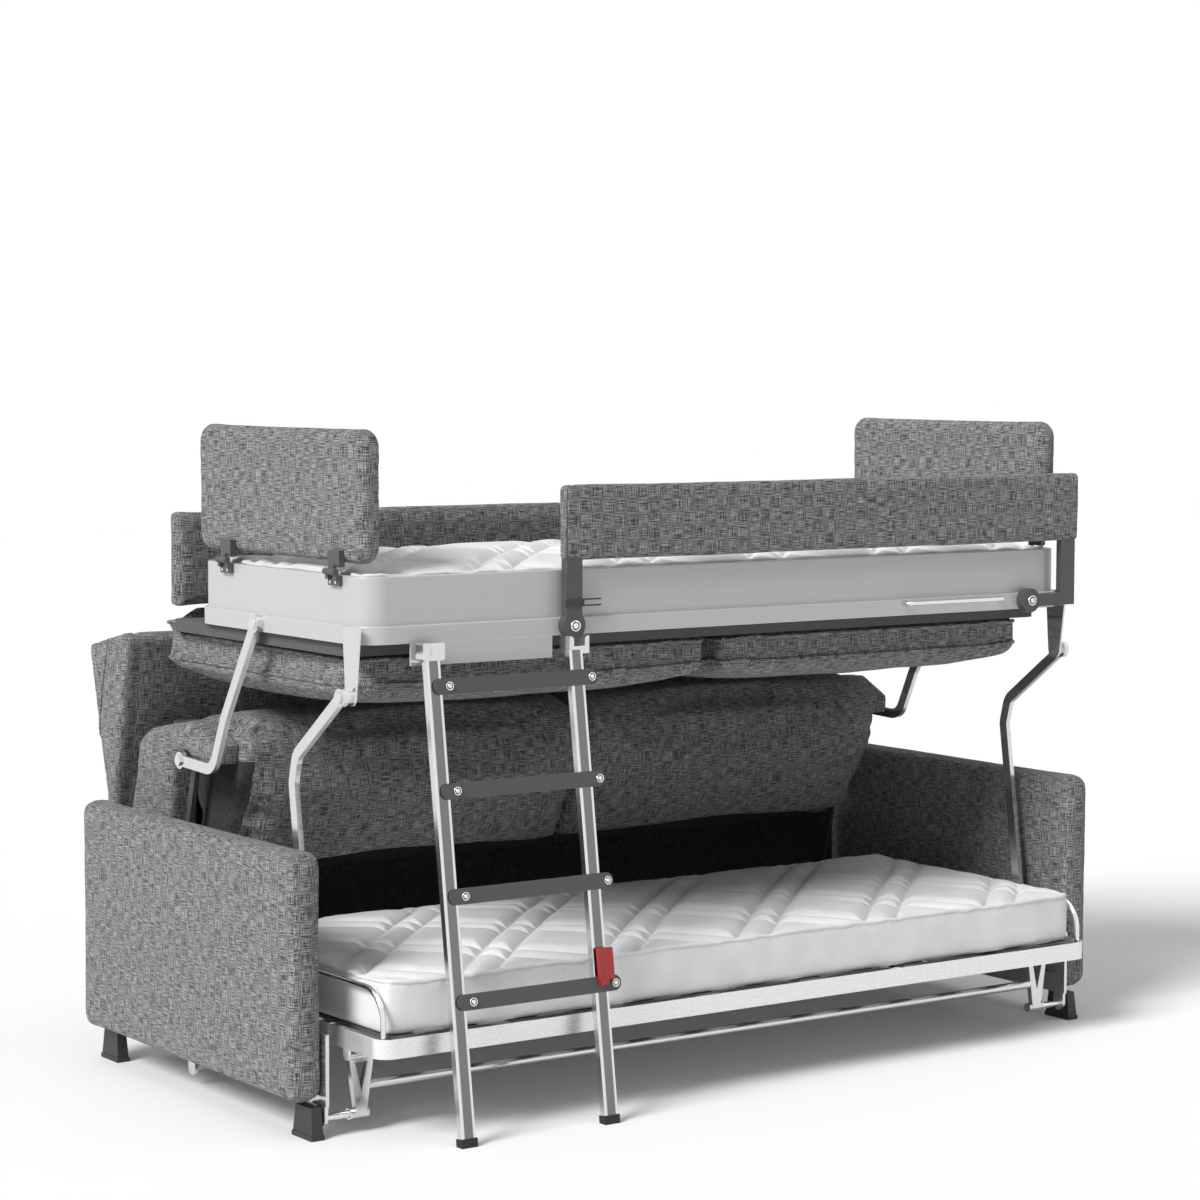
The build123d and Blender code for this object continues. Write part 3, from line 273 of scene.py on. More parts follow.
@dataclass
class EffectShelf:
    """Builds each shared effect once as a node group, and places it in materials.

    The yarns' lengths are in millimetres. A ramp says where a mask starts and where it is full.
    """

    streak: float = 30.0
    thread: float = 1.3
    fleck: float = 0.9
    lying_share: float = 0.42
    standing_share: float = 0.34
    speck_share: float = 0.24
    yarn_ramp: Pair = (0.38, 0.5)
    fleck_ramp: Pair = (0.5, 0.62)
    thread_height: float = 0.25
    edge_samples: int = 4
    edge_reach: float = 0.0016
    edge_cover: float = 0.5
    edge_ramp: Pair = (0.985, 0.9)
    wear_scale: float = 90.0
    wear_ramp: Pair = (0.8, 1.1)
    grain_detail: float = 4.0
    dust_scale: float = 9.0
    dust_ramp: Pair = (0.35, 0.7)
    upward_ramp: Pair = (0.4, 1.0)
    groups: dict[Effect, bpy.types.NodeTree] = field(default_factory=dict)

    def open(self, effect: Effect, takes: dict[str, object], gives: dict[str, str]) -> Bench:
        """Starts a node group.

        Args:
            effect: The effect it holds.
            takes: Input names with their default values.
            gives: Output names with their socket types.

        Returns:
            A bench on the group's tree.
        """
        tree = bpy.data.node_groups.new(effect.value, "ShaderNodeTree")
        for name, value in takes.items():
            kind = "NodeSocketFloat" if isinstance(value, float) else "NodeSocketColor"
            tree.interface.new_socket(name, in_out="INPUT", socket_type=kind).default_value = value
        for name, kind in gives.items():
            tree.interface.new_socket(name, in_out="OUTPUT", socket_type=kind)
        self.groups[effect] = tree
        return Bench(tree)

    def weave(self) -> None:
        """A melange cloth: long flecked yarns both ways, over a fine plain weave, turned to each face."""
        grey = (0.15, 0.15, 0.15, 1.0)
        bench = self.open(
            Effect.WEAVE,
            {"Shade": grey, "Yarn": grey, "Fleck": grey, "Yarn Size": 1.0, "Contrast": 1.0},
            {"Colour": "NodeSocketColor", "Height": "NodeSocketFloat"},
        )
        takes = bench.node("NodeGroupInput").outputs
        gives = bench.node("NodeGroupOutput").inputs
        where = bench.node("ShaderNodeTexCoord")
        across, deep, up = bench.parts(where.outputs["Object"])
        turns = [bench.sum("ABSOLUTE", part) for part in bench.parts(where.outputs["Normal"])]
        faces_x = bench.sum("GREATER_THAN", turns[0], bench.sum("MAXIMUM", turns[1], turns[2]))
        faces_z = bench.sum("GREATER_THAN", turns[2], bench.sum("MAXIMUM", turns[0], turns[1]))

        def choose(share: Socket, usual: Socket, other: Socket) -> Socket:
            """The usual part, or the other where share is 1."""
            rest = bench.sum("SUBTRACT", 1.0, share)
            return bench.sum("ADD", bench.sum("MULTIPLY", usual, rest), bench.sum("MULTIPLY", other, share))

        size = bench.sum("DIVIDE", 1.0, takes["Yarn Size"])
        weft = bench.sum("MULTIPLY", choose(faces_x, across, deep), size)
        warp = bench.sum("MULTIPLY", choose(faces_z, up, deep), size)
        metre = 1 / placing.unit
        long, thick, speck = (metre / length for length in (self.streak, self.thread, self.fleck))
        lying = bench.grain(bench.stretch(bench.join(weft, warp), long, thick, 1.0), 1.0, 1.0)
        standing = bench.grain(bench.stretch(bench.join(weft, warp, 1.0), thick, long, 1.0), 1.0, 1.0)
        specks = bench.grain(bench.join(weft, warp, 2.0), speck, 1.0)
        slub = bench.sum("MULTIPLY", lying, self.lying_share)
        for yarns, share in ((standing, self.standing_share), (specks, self.speck_share)):
            slub = bench.sum("ADD", slub, bench.sum("MULTIPLY", yarns, share))
        spread = bench.sum("MULTIPLY", bench.sum("SUBTRACT", slub, 0.5), takes["Contrast"])
        slub = bench.sum("ADD", spread, 0.5)
        shaded = bench.blend(bench.span(slub, *self.yarn_ramp), takes["Shade"], takes["Yarn"])
        bench.feed(gives["Colour"], bench.blend(bench.span(slub, *self.fleck_ramp), shaded, takes["Fleck"]))
        turn = 2 * math.pi * metre / self.thread
        over = bench.sum("SINE", bench.sum("MULTIPLY", weft, turn))
        under = bench.sum("SINE", bench.sum("MULTIPLY", warp, turn))
        threads = bench.sum("MULTIPLY", bench.sum("MULTIPLY", over, under), self.thread_height)
        bench.feed(gives["Height"], bench.sum("ADD", threads, slub))

    def edge_wear(self) -> None:
        """A mask of the edges, where the rounded normal leaves the surface's own, broken up by noise."""
        defaults = {"Reach": self.edge_reach, "Cover": self.edge_cover}
        bench = self.open(Effect.EDGE_WEAR, defaults, {"Mask": "NodeSocketFloat"})
        takes = bench.node("NodeGroupInput").outputs
        gives = bench.node("NodeGroupOutput").inputs
        rounded = bench.node("ShaderNodeBevel", samples=self.edge_samples)
        bench.feed(rounded.inputs["Radius"], takes["Reach"])
        same = bench.node("ShaderNodeVectorMath", operation="DOT_PRODUCT")
        bench.feed(same.inputs[0], rounded.outputs[0])
        bench.feed(same.inputs[1], bench.node("ShaderNodeNewGeometry").outputs["Normal"])
        edge = bench.span(same.outputs["Value"], *self.edge_ramp)
        noise = bench.grain(bench.node("ShaderNodeTexCoord").outputs["Object"], self.wear_scale)
        spots = bench.span(bench.sum("ADD", noise, takes["Cover"]), *self.wear_ramp)
        bench.feed(gives["Mask"], bench.sum("MULTIPLY", edge, spots))

    def fine_grain(self) -> None:
        """The faint drawn grain of metal or moulded plastic, as a value about a half."""
        bench = self.open(Effect.FINE_GRAIN, {"Length": 1.0, "Fineness": 1.0}, {"Value": "NodeSocketFloat"})
        takes = bench.node("NodeGroupInput").outputs
        gives = bench.node("NodeGroupOutput").inputs
        across, deep, up = bench.parts(bench.node("ShaderNodeTexCoord").outputs["Object"])
        drawn = bench.join(
            bench.sum("MULTIPLY", across, takes["Length"]),
            bench.sum("MULTIPLY", deep, takes["Fineness"]),
            bench.sum("MULTIPLY", up, takes["Fineness"]),
        )
        bench.feed(gives["Value"], bench.grain(drawn, 1.0, self.grain_detail))

    def dust(self) -> None:
        """A faint mask on faces that look up."""
        bench = self.open(Effect.DUST, {"Amount": 0.1}, {"Mask": "NodeSocketFloat"})
        takes = bench.node("NodeGroupInput").outputs
        gives = bench.node("NodeGroupOutput").inputs
        where = bench.node("ShaderNodeTexCoord")
        up = bench.parts(where.outputs["Normal"])[2]
        specks = bench.grain(where.outputs["Object"], self.dust_scale, self.grain_detail)
        mask = bench.sum(
            "MULTIPLY", bench.span(up, *self.upward_ramp), bench.span(specks, *self.dust_ramp)
        )
        bench.feed(gives["Mask"], bench.sum("MULTIPLY", mask, takes["Amount"]))

    def stock(self) -> None:
        """Builds every effect."""
        self.weave()
        self.edge_wear()
        self.fine_grain()
        self.dust()

    def place(self, bench: Bench, effect: Effect, **values: object) -> bpy.types.Node:
        """Puts an effect into a material.

        Args:
            bench: The material's bench.
            effect: The effect.
            values: The group's own inputs, spaces written as underscores.

        Returns:
            The group node.
        """
        node = bench.node("ShaderNodeGroup", node_tree=self.groups[effect])
        for name, value in values.items():
            bench.feed(node.inputs[name.replace("_", " ")], value)
        return node


shelf = EffectShelf()
shelf.stock()


def solid(colour: Colour) -> tuple[float, float, float, float]:
    """A colour with its alpha."""
    return (*colour, 1.0)


def new_material(name: str) -> tuple[bpy.types.Material, Bench, bpy.types.Node]:
    """Starts a material.

    Args:
        name: The material's name.

    Returns:
        The material, its bench and its Principled BSDF.
    """
    material = bpy.data.materials.new(name)
    material.use_nodes = True
    bench = Bench(material.node_tree)
    return material, bench, material.node_tree.nodes["Principled BSDF"]


def bump(bench: Bench, shader: bpy.types.Node, height: Socket, strength: float, distance: float) -> None:
    """Feeds a height into a shader's normal.

    Args:
        bench: The material's bench.
        shader: The Principled BSDF.
        height: The height's socket.
        strength: The bump's strength.
        distance: The bump's height in metres.
    """
    node = bench.node("ShaderNodeBump")
    node.inputs["Strength"].default_value = strength
    node.inputs["Distance"].default_value = distance
    bench.feed(node.inputs["Height"], height)
    bench.feed(shader.inputs["Normal"], node.outputs[0])


@dataclass(frozen=True)
class ClothFinish:
    """A woven cloth."""

    name: str
    shade: Colour
    yarn: Colour
    fleck: Colour
    yarn_size: float = 1.0
    contrast: float = 1.0
    roughness: float = 0.92
    sheen: float = 0.12
    specular: float = 0.2
    bump_strength: float = 0.55
    bump_height: float = 0.0012

    def material(self) -> bpy.types.Material:
        """Wires the finish's nodes.

        Returns:
            The finished material.
        """
        material, bench, shader = new_material(self.name)
        weave = shelf.place(
            bench, Effect.WEAVE, Shade=solid(self.shade), Yarn=solid(self.yarn), Fleck=solid(self.fleck),
            Yarn_Size=self.yarn_size, Contrast=self.contrast,
        )
        bench.feed(shader.inputs["Base Color"], weave.outputs["Colour"])
        shader.inputs["Roughness"].default_value = self.roughness
        shader.inputs["Sheen Weight"].default_value = self.sheen
        shader.inputs["Specular IOR Level"].default_value = self.specular
        bump(bench, shader, weave.outputs["Height"], self.bump_strength, self.bump_height)
        return material


@dataclass(frozen=True)
class TickingFinish:
    """The pale knitted ticking of a quilted mattress."""

    name: str = "quilt_ticking"
    pale: Colour = (0.84, 0.84, 0.845)
    deep: Colour = (0.74, 0.74, 0.745)
    yarn_size: float = 0.6
    contrast: float = 0.8
    patch_scale: float = 14.0
    patch_detail: float = 3.0
    patch_ramp: Pair = (0.3, 0.7)
    patch_share: float = 0.7
    patch_height: float = 0.8
    roughness: float = 0.8
    sheen: float = 0.2
    specular: float = 0.3
    bump_strength: float = 0.3
    bump_height: float = 0.0008

    def material(self) -> bpy.types.Material:
        """Wires the finish's nodes.

        Returns:
            The finished material.
        """
        material, bench, shader = new_material(self.name)
        weave = shelf.place(
            bench, Effect.WEAVE, Shade=solid(self.deep), Yarn=solid(self.pale), Fleck=solid(self.pale),
            Yarn_Size=self.yarn_size, Contrast=self.contrast,
        )
        where = bench.node("ShaderNodeTexCoord").outputs["Object"]
        patches = bench.span(bench.grain(where, self.patch_scale, self.patch_detail), *self.patch_ramp)
        tone = bench.blend(patches, solid(self.deep), solid(self.pale))
        bench.feed(
            shader.inputs["Base Color"], bench.blend(self.patch_share, weave.outputs["Colour"], tone)
        )
        shader.inputs["Roughness"].default_value = self.roughness
        shader.inputs["Sheen Weight"].default_value = self.sheen
        shader.inputs["Specular IOR Level"].default_value = self.specular
        soft = bench.sum("ADD", weave.outputs["Height"], bench.sum("MULTIPLY", patches, self.patch_height))
        bump(bench, shader, soft, self.bump_strength, self.bump_height)
        return material


@dataclass(frozen=True)
class CoatedFinish:
    """Painted steel, moulded plastic or rubber: a plain colour with a fine grain, rubbed edges and dust."""

    name: str
    colour: Colour
    worn: Colour
    roughness: float
    roughness_swing: float = 0.06
    grain_length: float = 420.0
    grain_fineness: float = 420.0
    grain_ramp: Pair = (0.3, 0.7)
    shade_share: float = 0.86
    wear_cover: float = 0.4
    dusty: float = 0.08
    dust_colour: Colour = (0.5, 0.5, 0.49)
    bump_strength: float = 0.2
    bump_height: float = 0.0003
    metallic: float = 0.0
    coat: float = 0.0

    def material(self) -> bpy.types.Material:
        """Wires the finish's nodes.

        Returns:
            The finished material.
        """
        material, bench, shader = new_material(self.name)
        grain = shelf.place(
            bench, Effect.FINE_GRAIN, Length=self.grain_length, Fineness=self.grain_fineness
        ).outputs["Value"]
        edge = shelf.place(bench, Effect.EDGE_WEAR, Cover=self.wear_cover).outputs["Mask"]
        shade = tuple(part * self.shade_share for part in self.colour)
        tone = bench.blend(bench.span(grain, *self.grain_ramp), solid(shade), solid(self.colour))
        worn = bench.blend(edge, tone, solid(self.worn))
        dust = shelf.place(bench, Effect.DUST, Amount=self.dusty).outputs["Mask"]
        bench.feed(shader.inputs["Base Color"], bench.blend(dust, worn, solid(self.dust_colour)))
        low, high = self.roughness - self.roughness_swing, self.roughness + self.roughness_swing
        bench.feed(shader.inputs["Roughness"], bench.span(grain, *self.grain_ramp, low, high))
        shader.inputs["Metallic"].default_value = self.metallic
        shader.inputs["Coat Weight"].default_value = self.coat
        bump(bench, shader, grain, self.bump_strength, self.bump_height)
        return material


@dataclass(frozen=True)
class MetalFinish(CoatedFinish):
    """A bare or plated metal with a drawn grain and rubbed edges."""

    roughness_swing: float = 0.03
    grain_length: float = 12.0
    grain_fineness: float = 700.0
    shade_share: float = 0.965
    wear_cover: float = 0.5
    dusty: float = 0.0
    dust_colour: Colour = (0.6, 0.6, 0.58)
    bump_strength: float = 0.08
    metallic: float = 1.0


@dataclass(frozen=True)
class StileFinish(MetalFinish):
    """The ladder's stiles: paler rims beside a darker face, painted as a highlight on the rounded rims and a
    dimmer reflection on the flat face.
    """

    # The face's dark colour and the rims' pale one are a painted reflection and highlight.
    face: Colour = (0.2, 0.2, 0.2)
    middle: float = -0.646
    half_pitch: float = 0.176
    rim: float = 0.0105
    rim_blur: float = 0.0015

    def material(self) -> bpy.types.Material:
        """Wires the finish's nodes.

        Returns:
            The finished material.
        """
        material = super().material()
        bench = Bench(material.node_tree)
        shader = material.node_tree.nodes["Principled BSDF"]
        across = bench.parts(bench.node("ShaderNodeTexCoord").outputs["Object"])[0]
        from_pair = bench.sum("ABSOLUTE", bench.sum("SUBTRACT", across, self.middle))
        from_stile = bench.sum("ABSOLUTE", bench.sum("SUBTRACT", from_pair, self.half_pitch))
        # Painted highlight: the rims keep the pale metal colour, the face between them is painted dark.
        rim = bench.span(from_stile, self.rim - self.rim_blur, self.rim + self.rim_blur)
        plain = shader.inputs["Base Color"].links[0].from_socket
        bench.feed(shader.inputs["Base Color"], bench.blend(rim, solid(self.face), plain))
        return material


@dataclass(frozen=True)
class BoardFinish:
    """A wooden board in a thin grey non-woven cover."""

    name: str = "board_cover"
    colour: Colour = (0.075, 0.075, 0.074)
    fibre: Colour = (0.115, 0.115, 0.113)
    roughness: float = 0.88
    fibre_scale: float = 260.0
    fibre_detail: float = 5.0
    fibre_ramp: Pair = (0.4, 0.65)
    bump_strength: float = 0.3
    bump_height: float = 0.0005

    def material(self) -> bpy.types.Material:
        """Wires the finish's nodes.

        Returns:
            The finished material.
        """
        material, bench, shader = new_material(self.name)
        where = bench.node("ShaderNodeTexCoord").outputs["Object"]
        fibres = bench.grain(where, self.fibre_scale, self.fibre_detail)
        tone = bench.blend(bench.span(fibres, *self.fibre_ramp), solid(self.colour), solid(self.fibre))
        bench.feed(shader.inputs["Base Color"], tone)
        shader.inputs["Roughness"].default_value = self.roughness
        bump(bench, shader, fibres, self.bump_strength, self.bump_height)
        return material


class Finishes:
    """Every finish of the sofa, made once, under the record's slot names."""

    def __init__(self) -> None:
        """Makes the materials."""
        kinds = {
            "upholstery": ClothFinish(
                "upholstery_melange", (0.04, 0.04, 0.041), (0.15, 0.15, 0.151), (0.38, 0.38, 0.374),
                contrast=2.8,
            ),
            "quilt": TickingFinish(),
            "tray_metal": MetalFinish(
                "tray_sheet", (0.52, 0.52, 0.52), (0.72, 0.72, 0.72), 0.36, dusty=0.02, metallic=0.12
            ),
            "bright_metal": MetalFinish(
                "drawn_bar", (0.74, 0.74, 0.74), (0.88, 0.88, 0.88), 0.15, grain_length=60.0, metallic=0.92
            ),
            "chrome": MetalFinish(
                "chrome_plate", (0.8, 0.8, 0.81), (0.9, 0.9, 0.9), 0.08,
                roughness_swing=0.02, bump_strength=0.02,
            ),
            "dark_paint": CoatedFinish("dark_paint", (0.075, 0.075, 0.076), (0.17, 0.17, 0.17), 0.42),
            "dark_plastic": CoatedFinish("moulded_plastic", (0.03, 0.03, 0.031), (0.07, 0.07, 0.07), 0.5),
            "rubber": CoatedFinish("rubber_shoe", (0.012, 0.012, 0.012), (0.03, 0.03, 0.03), 0.7),
            "black_cloth": ClothFinish(
                "black_lining", (0.016, 0.016, 0.016), (0.04, 0.04, 0.04), (0.08, 0.08, 0.08),
                contrast=2.0, yarn_size=0.6, sheen=0.05,
            ),
            "board": BoardFinish(),
            "red_plastic": CoatedFinish(
                "red_lever", (0.36, 0.012, 0.014), (0.5, 0.06, 0.05), 0.36, coat=0.3, dusty=0.02
            ),
        }
        self.by_slot = {slot: kind.material() for slot, kind in kinds.items()}
        self.bed_band = MetalFinish(
            "bed_band", (0.86, 0.86, 0.86), (0.92, 0.92, 0.92), 0.28, grain_length=30.0, metallic=0.6
        ).material()
        self.stiles = StileFinish(
            "ladder_stile", (0.78, 0.78, 0.78), (0.9, 0.9, 0.9), 0.2, roughness_swing=0.04
        ).material()

    def dress_frame(self) -> None:
        """Gives every CAD node the finish of its slot."""
        for name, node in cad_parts.items():
            for slot in node.material_slots:
                slot.material = self.by_slot[slot.material.name.split(".")[0]]
        for side in Side:
            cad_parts[f"ladder_{side.word}_stile"].material_slots[0].material = self.stiles
        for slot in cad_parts["lower_band"].material_slots:
            slot.material = self.bed_band
        log.info("dressed %d CAD nodes", len(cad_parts))

    def put(self, piece: Piece, slot: str) -> None:
        """Gives a new piece the finish of a slot.

        Args:
            piece: The piece.
            slot: The slot's name in the record.
        """
        piece.data.materials.clear()
        piece.data.materials.append(self.by_slot[slot])


finishes = Finishes()


# Meshes


def link(name: str, data: bpy.types.ID) -> Piece:
    """Puts new data into the scene under a name.

    Args:
        name: The piece's name.
        data: Its mesh, curve, lamp or camera.

    Returns:
        The piece.
    """
    piece = bpy.data.objects.new(name, data)
    bpy.context.scene.collection.objects.link(piece)
    return piece


def piece_from(name: str, mesh: bmesh.types.BMesh) -> Piece:
    """Ends an edit mesh as a new piece.

    Args:
        name: The piece's name.
        mesh: The edit mesh, which is freed.

    Returns:
        The piece.
    """
    data = bpy.data.meshes.new(name)
    mesh.to_mesh(data)
    mesh.free()
    return link(name, data)


def points_of(piece: Piece) -> np.ndarray:
    """Reads the vertices of a piece.

    Args:
        piece: The piece.

    Returns:
        One row of X, Y and Z for each vertex.
    """
    flat = np.zeros(len(piece.data.vertices) * 3)
    piece.data.vertices.foreach_get("co", flat)
    return flat.reshape(-1, 3)


def normals_of(piece: Piece) -> np.ndarray:
    """Reads the vertex normals of a piece.

    Args:
        piece: The piece.

    Returns:
        One row for each vertex.
    """
    flat = np.zeros(len(piece.data.vertices) * 3)
    piece.data.vertices.foreach_get("normal", flat)
    return flat.reshape(-1, 3)


def set_points(piece: Piece, points: np.ndarray) -> None:
    """Moves the vertices of a piece."""
    piece.data.vertices.foreach_set("co", points.ravel())
    piece.data.update()


def settle(piece: Piece) -> None:
    """Replaces a piece's mesh by what its modifiers make of it.

    Args:
        piece: The piece.
    """
    graph = bpy.context.evaluated_depsgraph_get()
    made = bpy.data.meshes.new_from_object(piece.evaluated_get(graph))
    piece.modifiers.clear()
    piece.data = made


def smooth(piece: Piece) -> None:
    """Shades a piece smoothly."""
    piece.data.polygons.foreach_set("use_smooth", [True] * len(piece.data.polygons))


def surface(piece: Piece) -> BVHTree:
    """A search tree over a piece's faces."""
    mesh = piece.data
    return BVHTree.FromPolygons([v.co for v in mesh.vertices], [p.vertices for p in mesh.polygons])


def bridge(mesh: bmesh.types.BMesh, rings: Sequence[Ring]) -> None:
    """Skins a row of rings and closes both its ends.

    Args:
        mesh: The mesh that the rings are in.
        rings: The rings, each with as many corners as the next.
    """
    for here, there in zip(rings, rings[1:]):
        for turn, corner in enumerate(here):
            after = (turn + 1) % len(here)
            mesh.faces.new((corner, here[after], there[after], there[turn]))
    mesh.faces.new(rings[0][::-1])
    mesh.faces.new(rings[-1])


def sheet_between(
    name: str, rows: Sequence[Sequence[Vector]], keep: Callable[[list[Vector]], bool], thickness: float
) -> Piece:
    """A thin black cloth over rows of points.

    Args:
        name: The piece's name.
        rows: The points in metres, row by row from the bottom.
        keep: Says from a quad's four corners, lower ones first, whether it is there.
        thickness: The cloth's thickness in metres.

    Returns:
        The piece.
    """
    mesh = bmesh.new()
    grid = [[mesh.verts.new(place) for place in row] for row in rows]
    for low, high in zip(grid, grid[1:]):
        for index in range(len(low) - 1):
            corners = (low[index], low[index + 1], high[index + 1], high[index])
            if keep([corner.co for corner in corners]):
                mesh.faces.new(corners)
    bmesh.ops.delete(mesh, geom=[v for v in mesh.verts if not v.link_faces], context="VERTS")
    piece = piece_from(name, mesh)
    piece.modifiers.new("thick", "SOLIDIFY").thickness = thickness
    settle(piece)
    smooth(piece)
    finishes.put(piece, "black_cloth")
    return piece


def lumps(points: np.ndarray, pitch: float, seed: float = 0.0) -> np.ndarray:
    """A smooth, slowly changing value over a surface, between about -1 and 1.

    The factors only keep its three waves from falling into step with each other.

    Args:
        points: The places, as rows.
        pitch: The distance from lump to lump.
        seed: Shifts the pattern.

    Returns:
        One value for each place.
    """
    turn = 2 * math.pi / pitch
    x, y, z = (points * turn).T
    first = np.sin(x + 1.3 * np.sin(0.6 * y + seed) + seed)
    second = np.sin(0.8 * y + 1.1 * np.sin(0.7 * z + x * 0.4))
    third = np.sin(0.9 * z + 1.7 * np.sin(0.5 * x - seed))
    return (first + second + third) / 3


def rounded_route(
    low: Pair, high: Pair, radius: float, height: Callable[[float, float], float],
    step: float = 15.0, turns: int = 6,
) -> list[Vector]:
    """Points round a rounded rectangle, in the scene's metres.

    Args:
        low: Its lowest X and Y, in the sofa's millimetres.
        high: Its highest X and Y.
        radius: Its corner radius.
        height: Gives the Z of each X and Y.
        step: The distance from point to point along the sides.
        turns: How many steps a corner has.

    Returns:
        The points, in order.
    """
    made = []
    corners = (
        (high[0] - radius, high[1] - radius, 0.0),
        (low[0] + radius, high[1] - radius, math.pi / 2),
        (low[0] + radius, low[1] + radius, math.pi),
        (high[0] - radius, low[1] + radius, 3 * math.pi / 2),
    )
    for x, y, start in corners:
        for index in range(turns + 1):
            angle = start + index * math.pi / 2 / turns
            made.append((x + radius * math.cos(angle), y + radius * math.sin(angle)))
    route = []
    for here, there in zip(made, made[1:] + made[:1]):
        count = max(1, round(math.dist(here, there) / step))
        for index in range(count):
            share = index / count
            x, y = (a + share * (b - a) for a, b in zip(here, there))
            route.append(placing.spot(x, y, height(x, y)))
    return route


def tube(name: str, route: Sequence[Vector], radius: float, closed: bool = False, facets: int = 2) -> Piece:
    """A round cord or rod along a route, as a mesh.

    Args:
        name: The piece's name.
        route: The points it goes through, in metres.
        radius: Its radius in metres.
        closed: Whether its end meets its start.
        facets: How finely it is rounded.

    Returns:
        The piece.
    """
    curve = bpy.data.curves.new(name, "CURVE")
    curve.dimensions = "3D"
    curve.bevel_depth = radius
    curve.bevel_resolution = facets
    curve.use_fill_caps = not closed
    spline = curve.splines.new("POLY")
    spline.points.add(len(route) - 1)
    for point, place in zip(spline.points, route):
        point.co = (*place, 1.0)
    spline.use_cyclic_u = closed
    draft = link(name + "_draft", curve)
    bpy.context.view_layer.update()
    mesh = bpy.data.meshes.new_from_object(draft.evaluated_get(bpy.context.evaluated_depsgraph_get()))
    bpy.data.objects.remove(draft)
    piece = link(name, mesh)
    smooth(piece)
    return piece


@dataclass
class Pad:
    """A soft piece that starts as a copy of its CAD solid. Its lengths are in metres."""

    node: str
    body: str
    slot: str = "upholstery"
    voxel: float = 0.009
    shrink: float = 0.004
    rounding: int = 6
    cap: float = 0.012
    pressure: float = 4.0
    fill: float = 0.6
    slack: float = 0.003
    swells: bool = True
    slab: bool = False
    weld_share: float = 0.005
    evening: float = 0.5
    piece: Piece | None = None

    def cut(self) -> "Pad":
        """Copies the CAD solid, or the hull round a hollow one, remeshes it evenly and rounds its edges.

        Returns:
            This pad.
        """
        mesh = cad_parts[self.node].data.copy()
        tidy = bmesh.new()
        tidy.from_mesh(mesh)
        bmesh.ops.remove_doubles(tidy, verts=tidy.verts, dist=self.voxel * self.weld_share)
        if self.slab:
            bmesh.ops.convex_hull(tidy, input=tidy.verts)
            bmesh.ops.delete(tidy, geom=[v for v in tidy.verts if not v.link_faces], context="VERTS")
        tidy.to_mesh(mesh)
        tidy.free()
        self.piece = link(f"{self.node}_cover", mesh)
        remesh = self.piece.modifiers.new("remesh", "REMESH")
        remesh.mode = "VOXEL"
        remesh.voxel_size = self.voxel
        soften = self.piece.modifiers.new("soften", "SMOOTH")
        soften.factor = self.evening
        soften.iterations = self.rounding
        settle(self.piece)
        if self.swells:
            set_points(self.piece, points_of(self.piece) - normals_of(self.piece) * self.shrink)
        return self

    def keep_clear(self) -> None:
        """Brings back what stands further than the slack outside the CAD solid."""
        node = surface(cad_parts[self.node])
        points = points_of(self.piece)
        for index, place in enumerate(points):
            near, normal, _, reach = node.find_nearest(place)
            away = Vector(place) - near
            if reach > self.slack and away.dot(normal) > 0:
                points[index] = near + away * (self.slack / reach)
        set_points(self.piece, points)

    def sew(self) -> None:
        """Ends the piece: finish, smooth shading, what it replaces, what it rides on."""
        smooth(self.piece)
        finishes.put(self.piece, self.slot)
        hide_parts(self.node)
        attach(self.piece, self.body)
        log.info("sewed %s: %d faces", self.piece.name, len(self.piece.data.polygons))


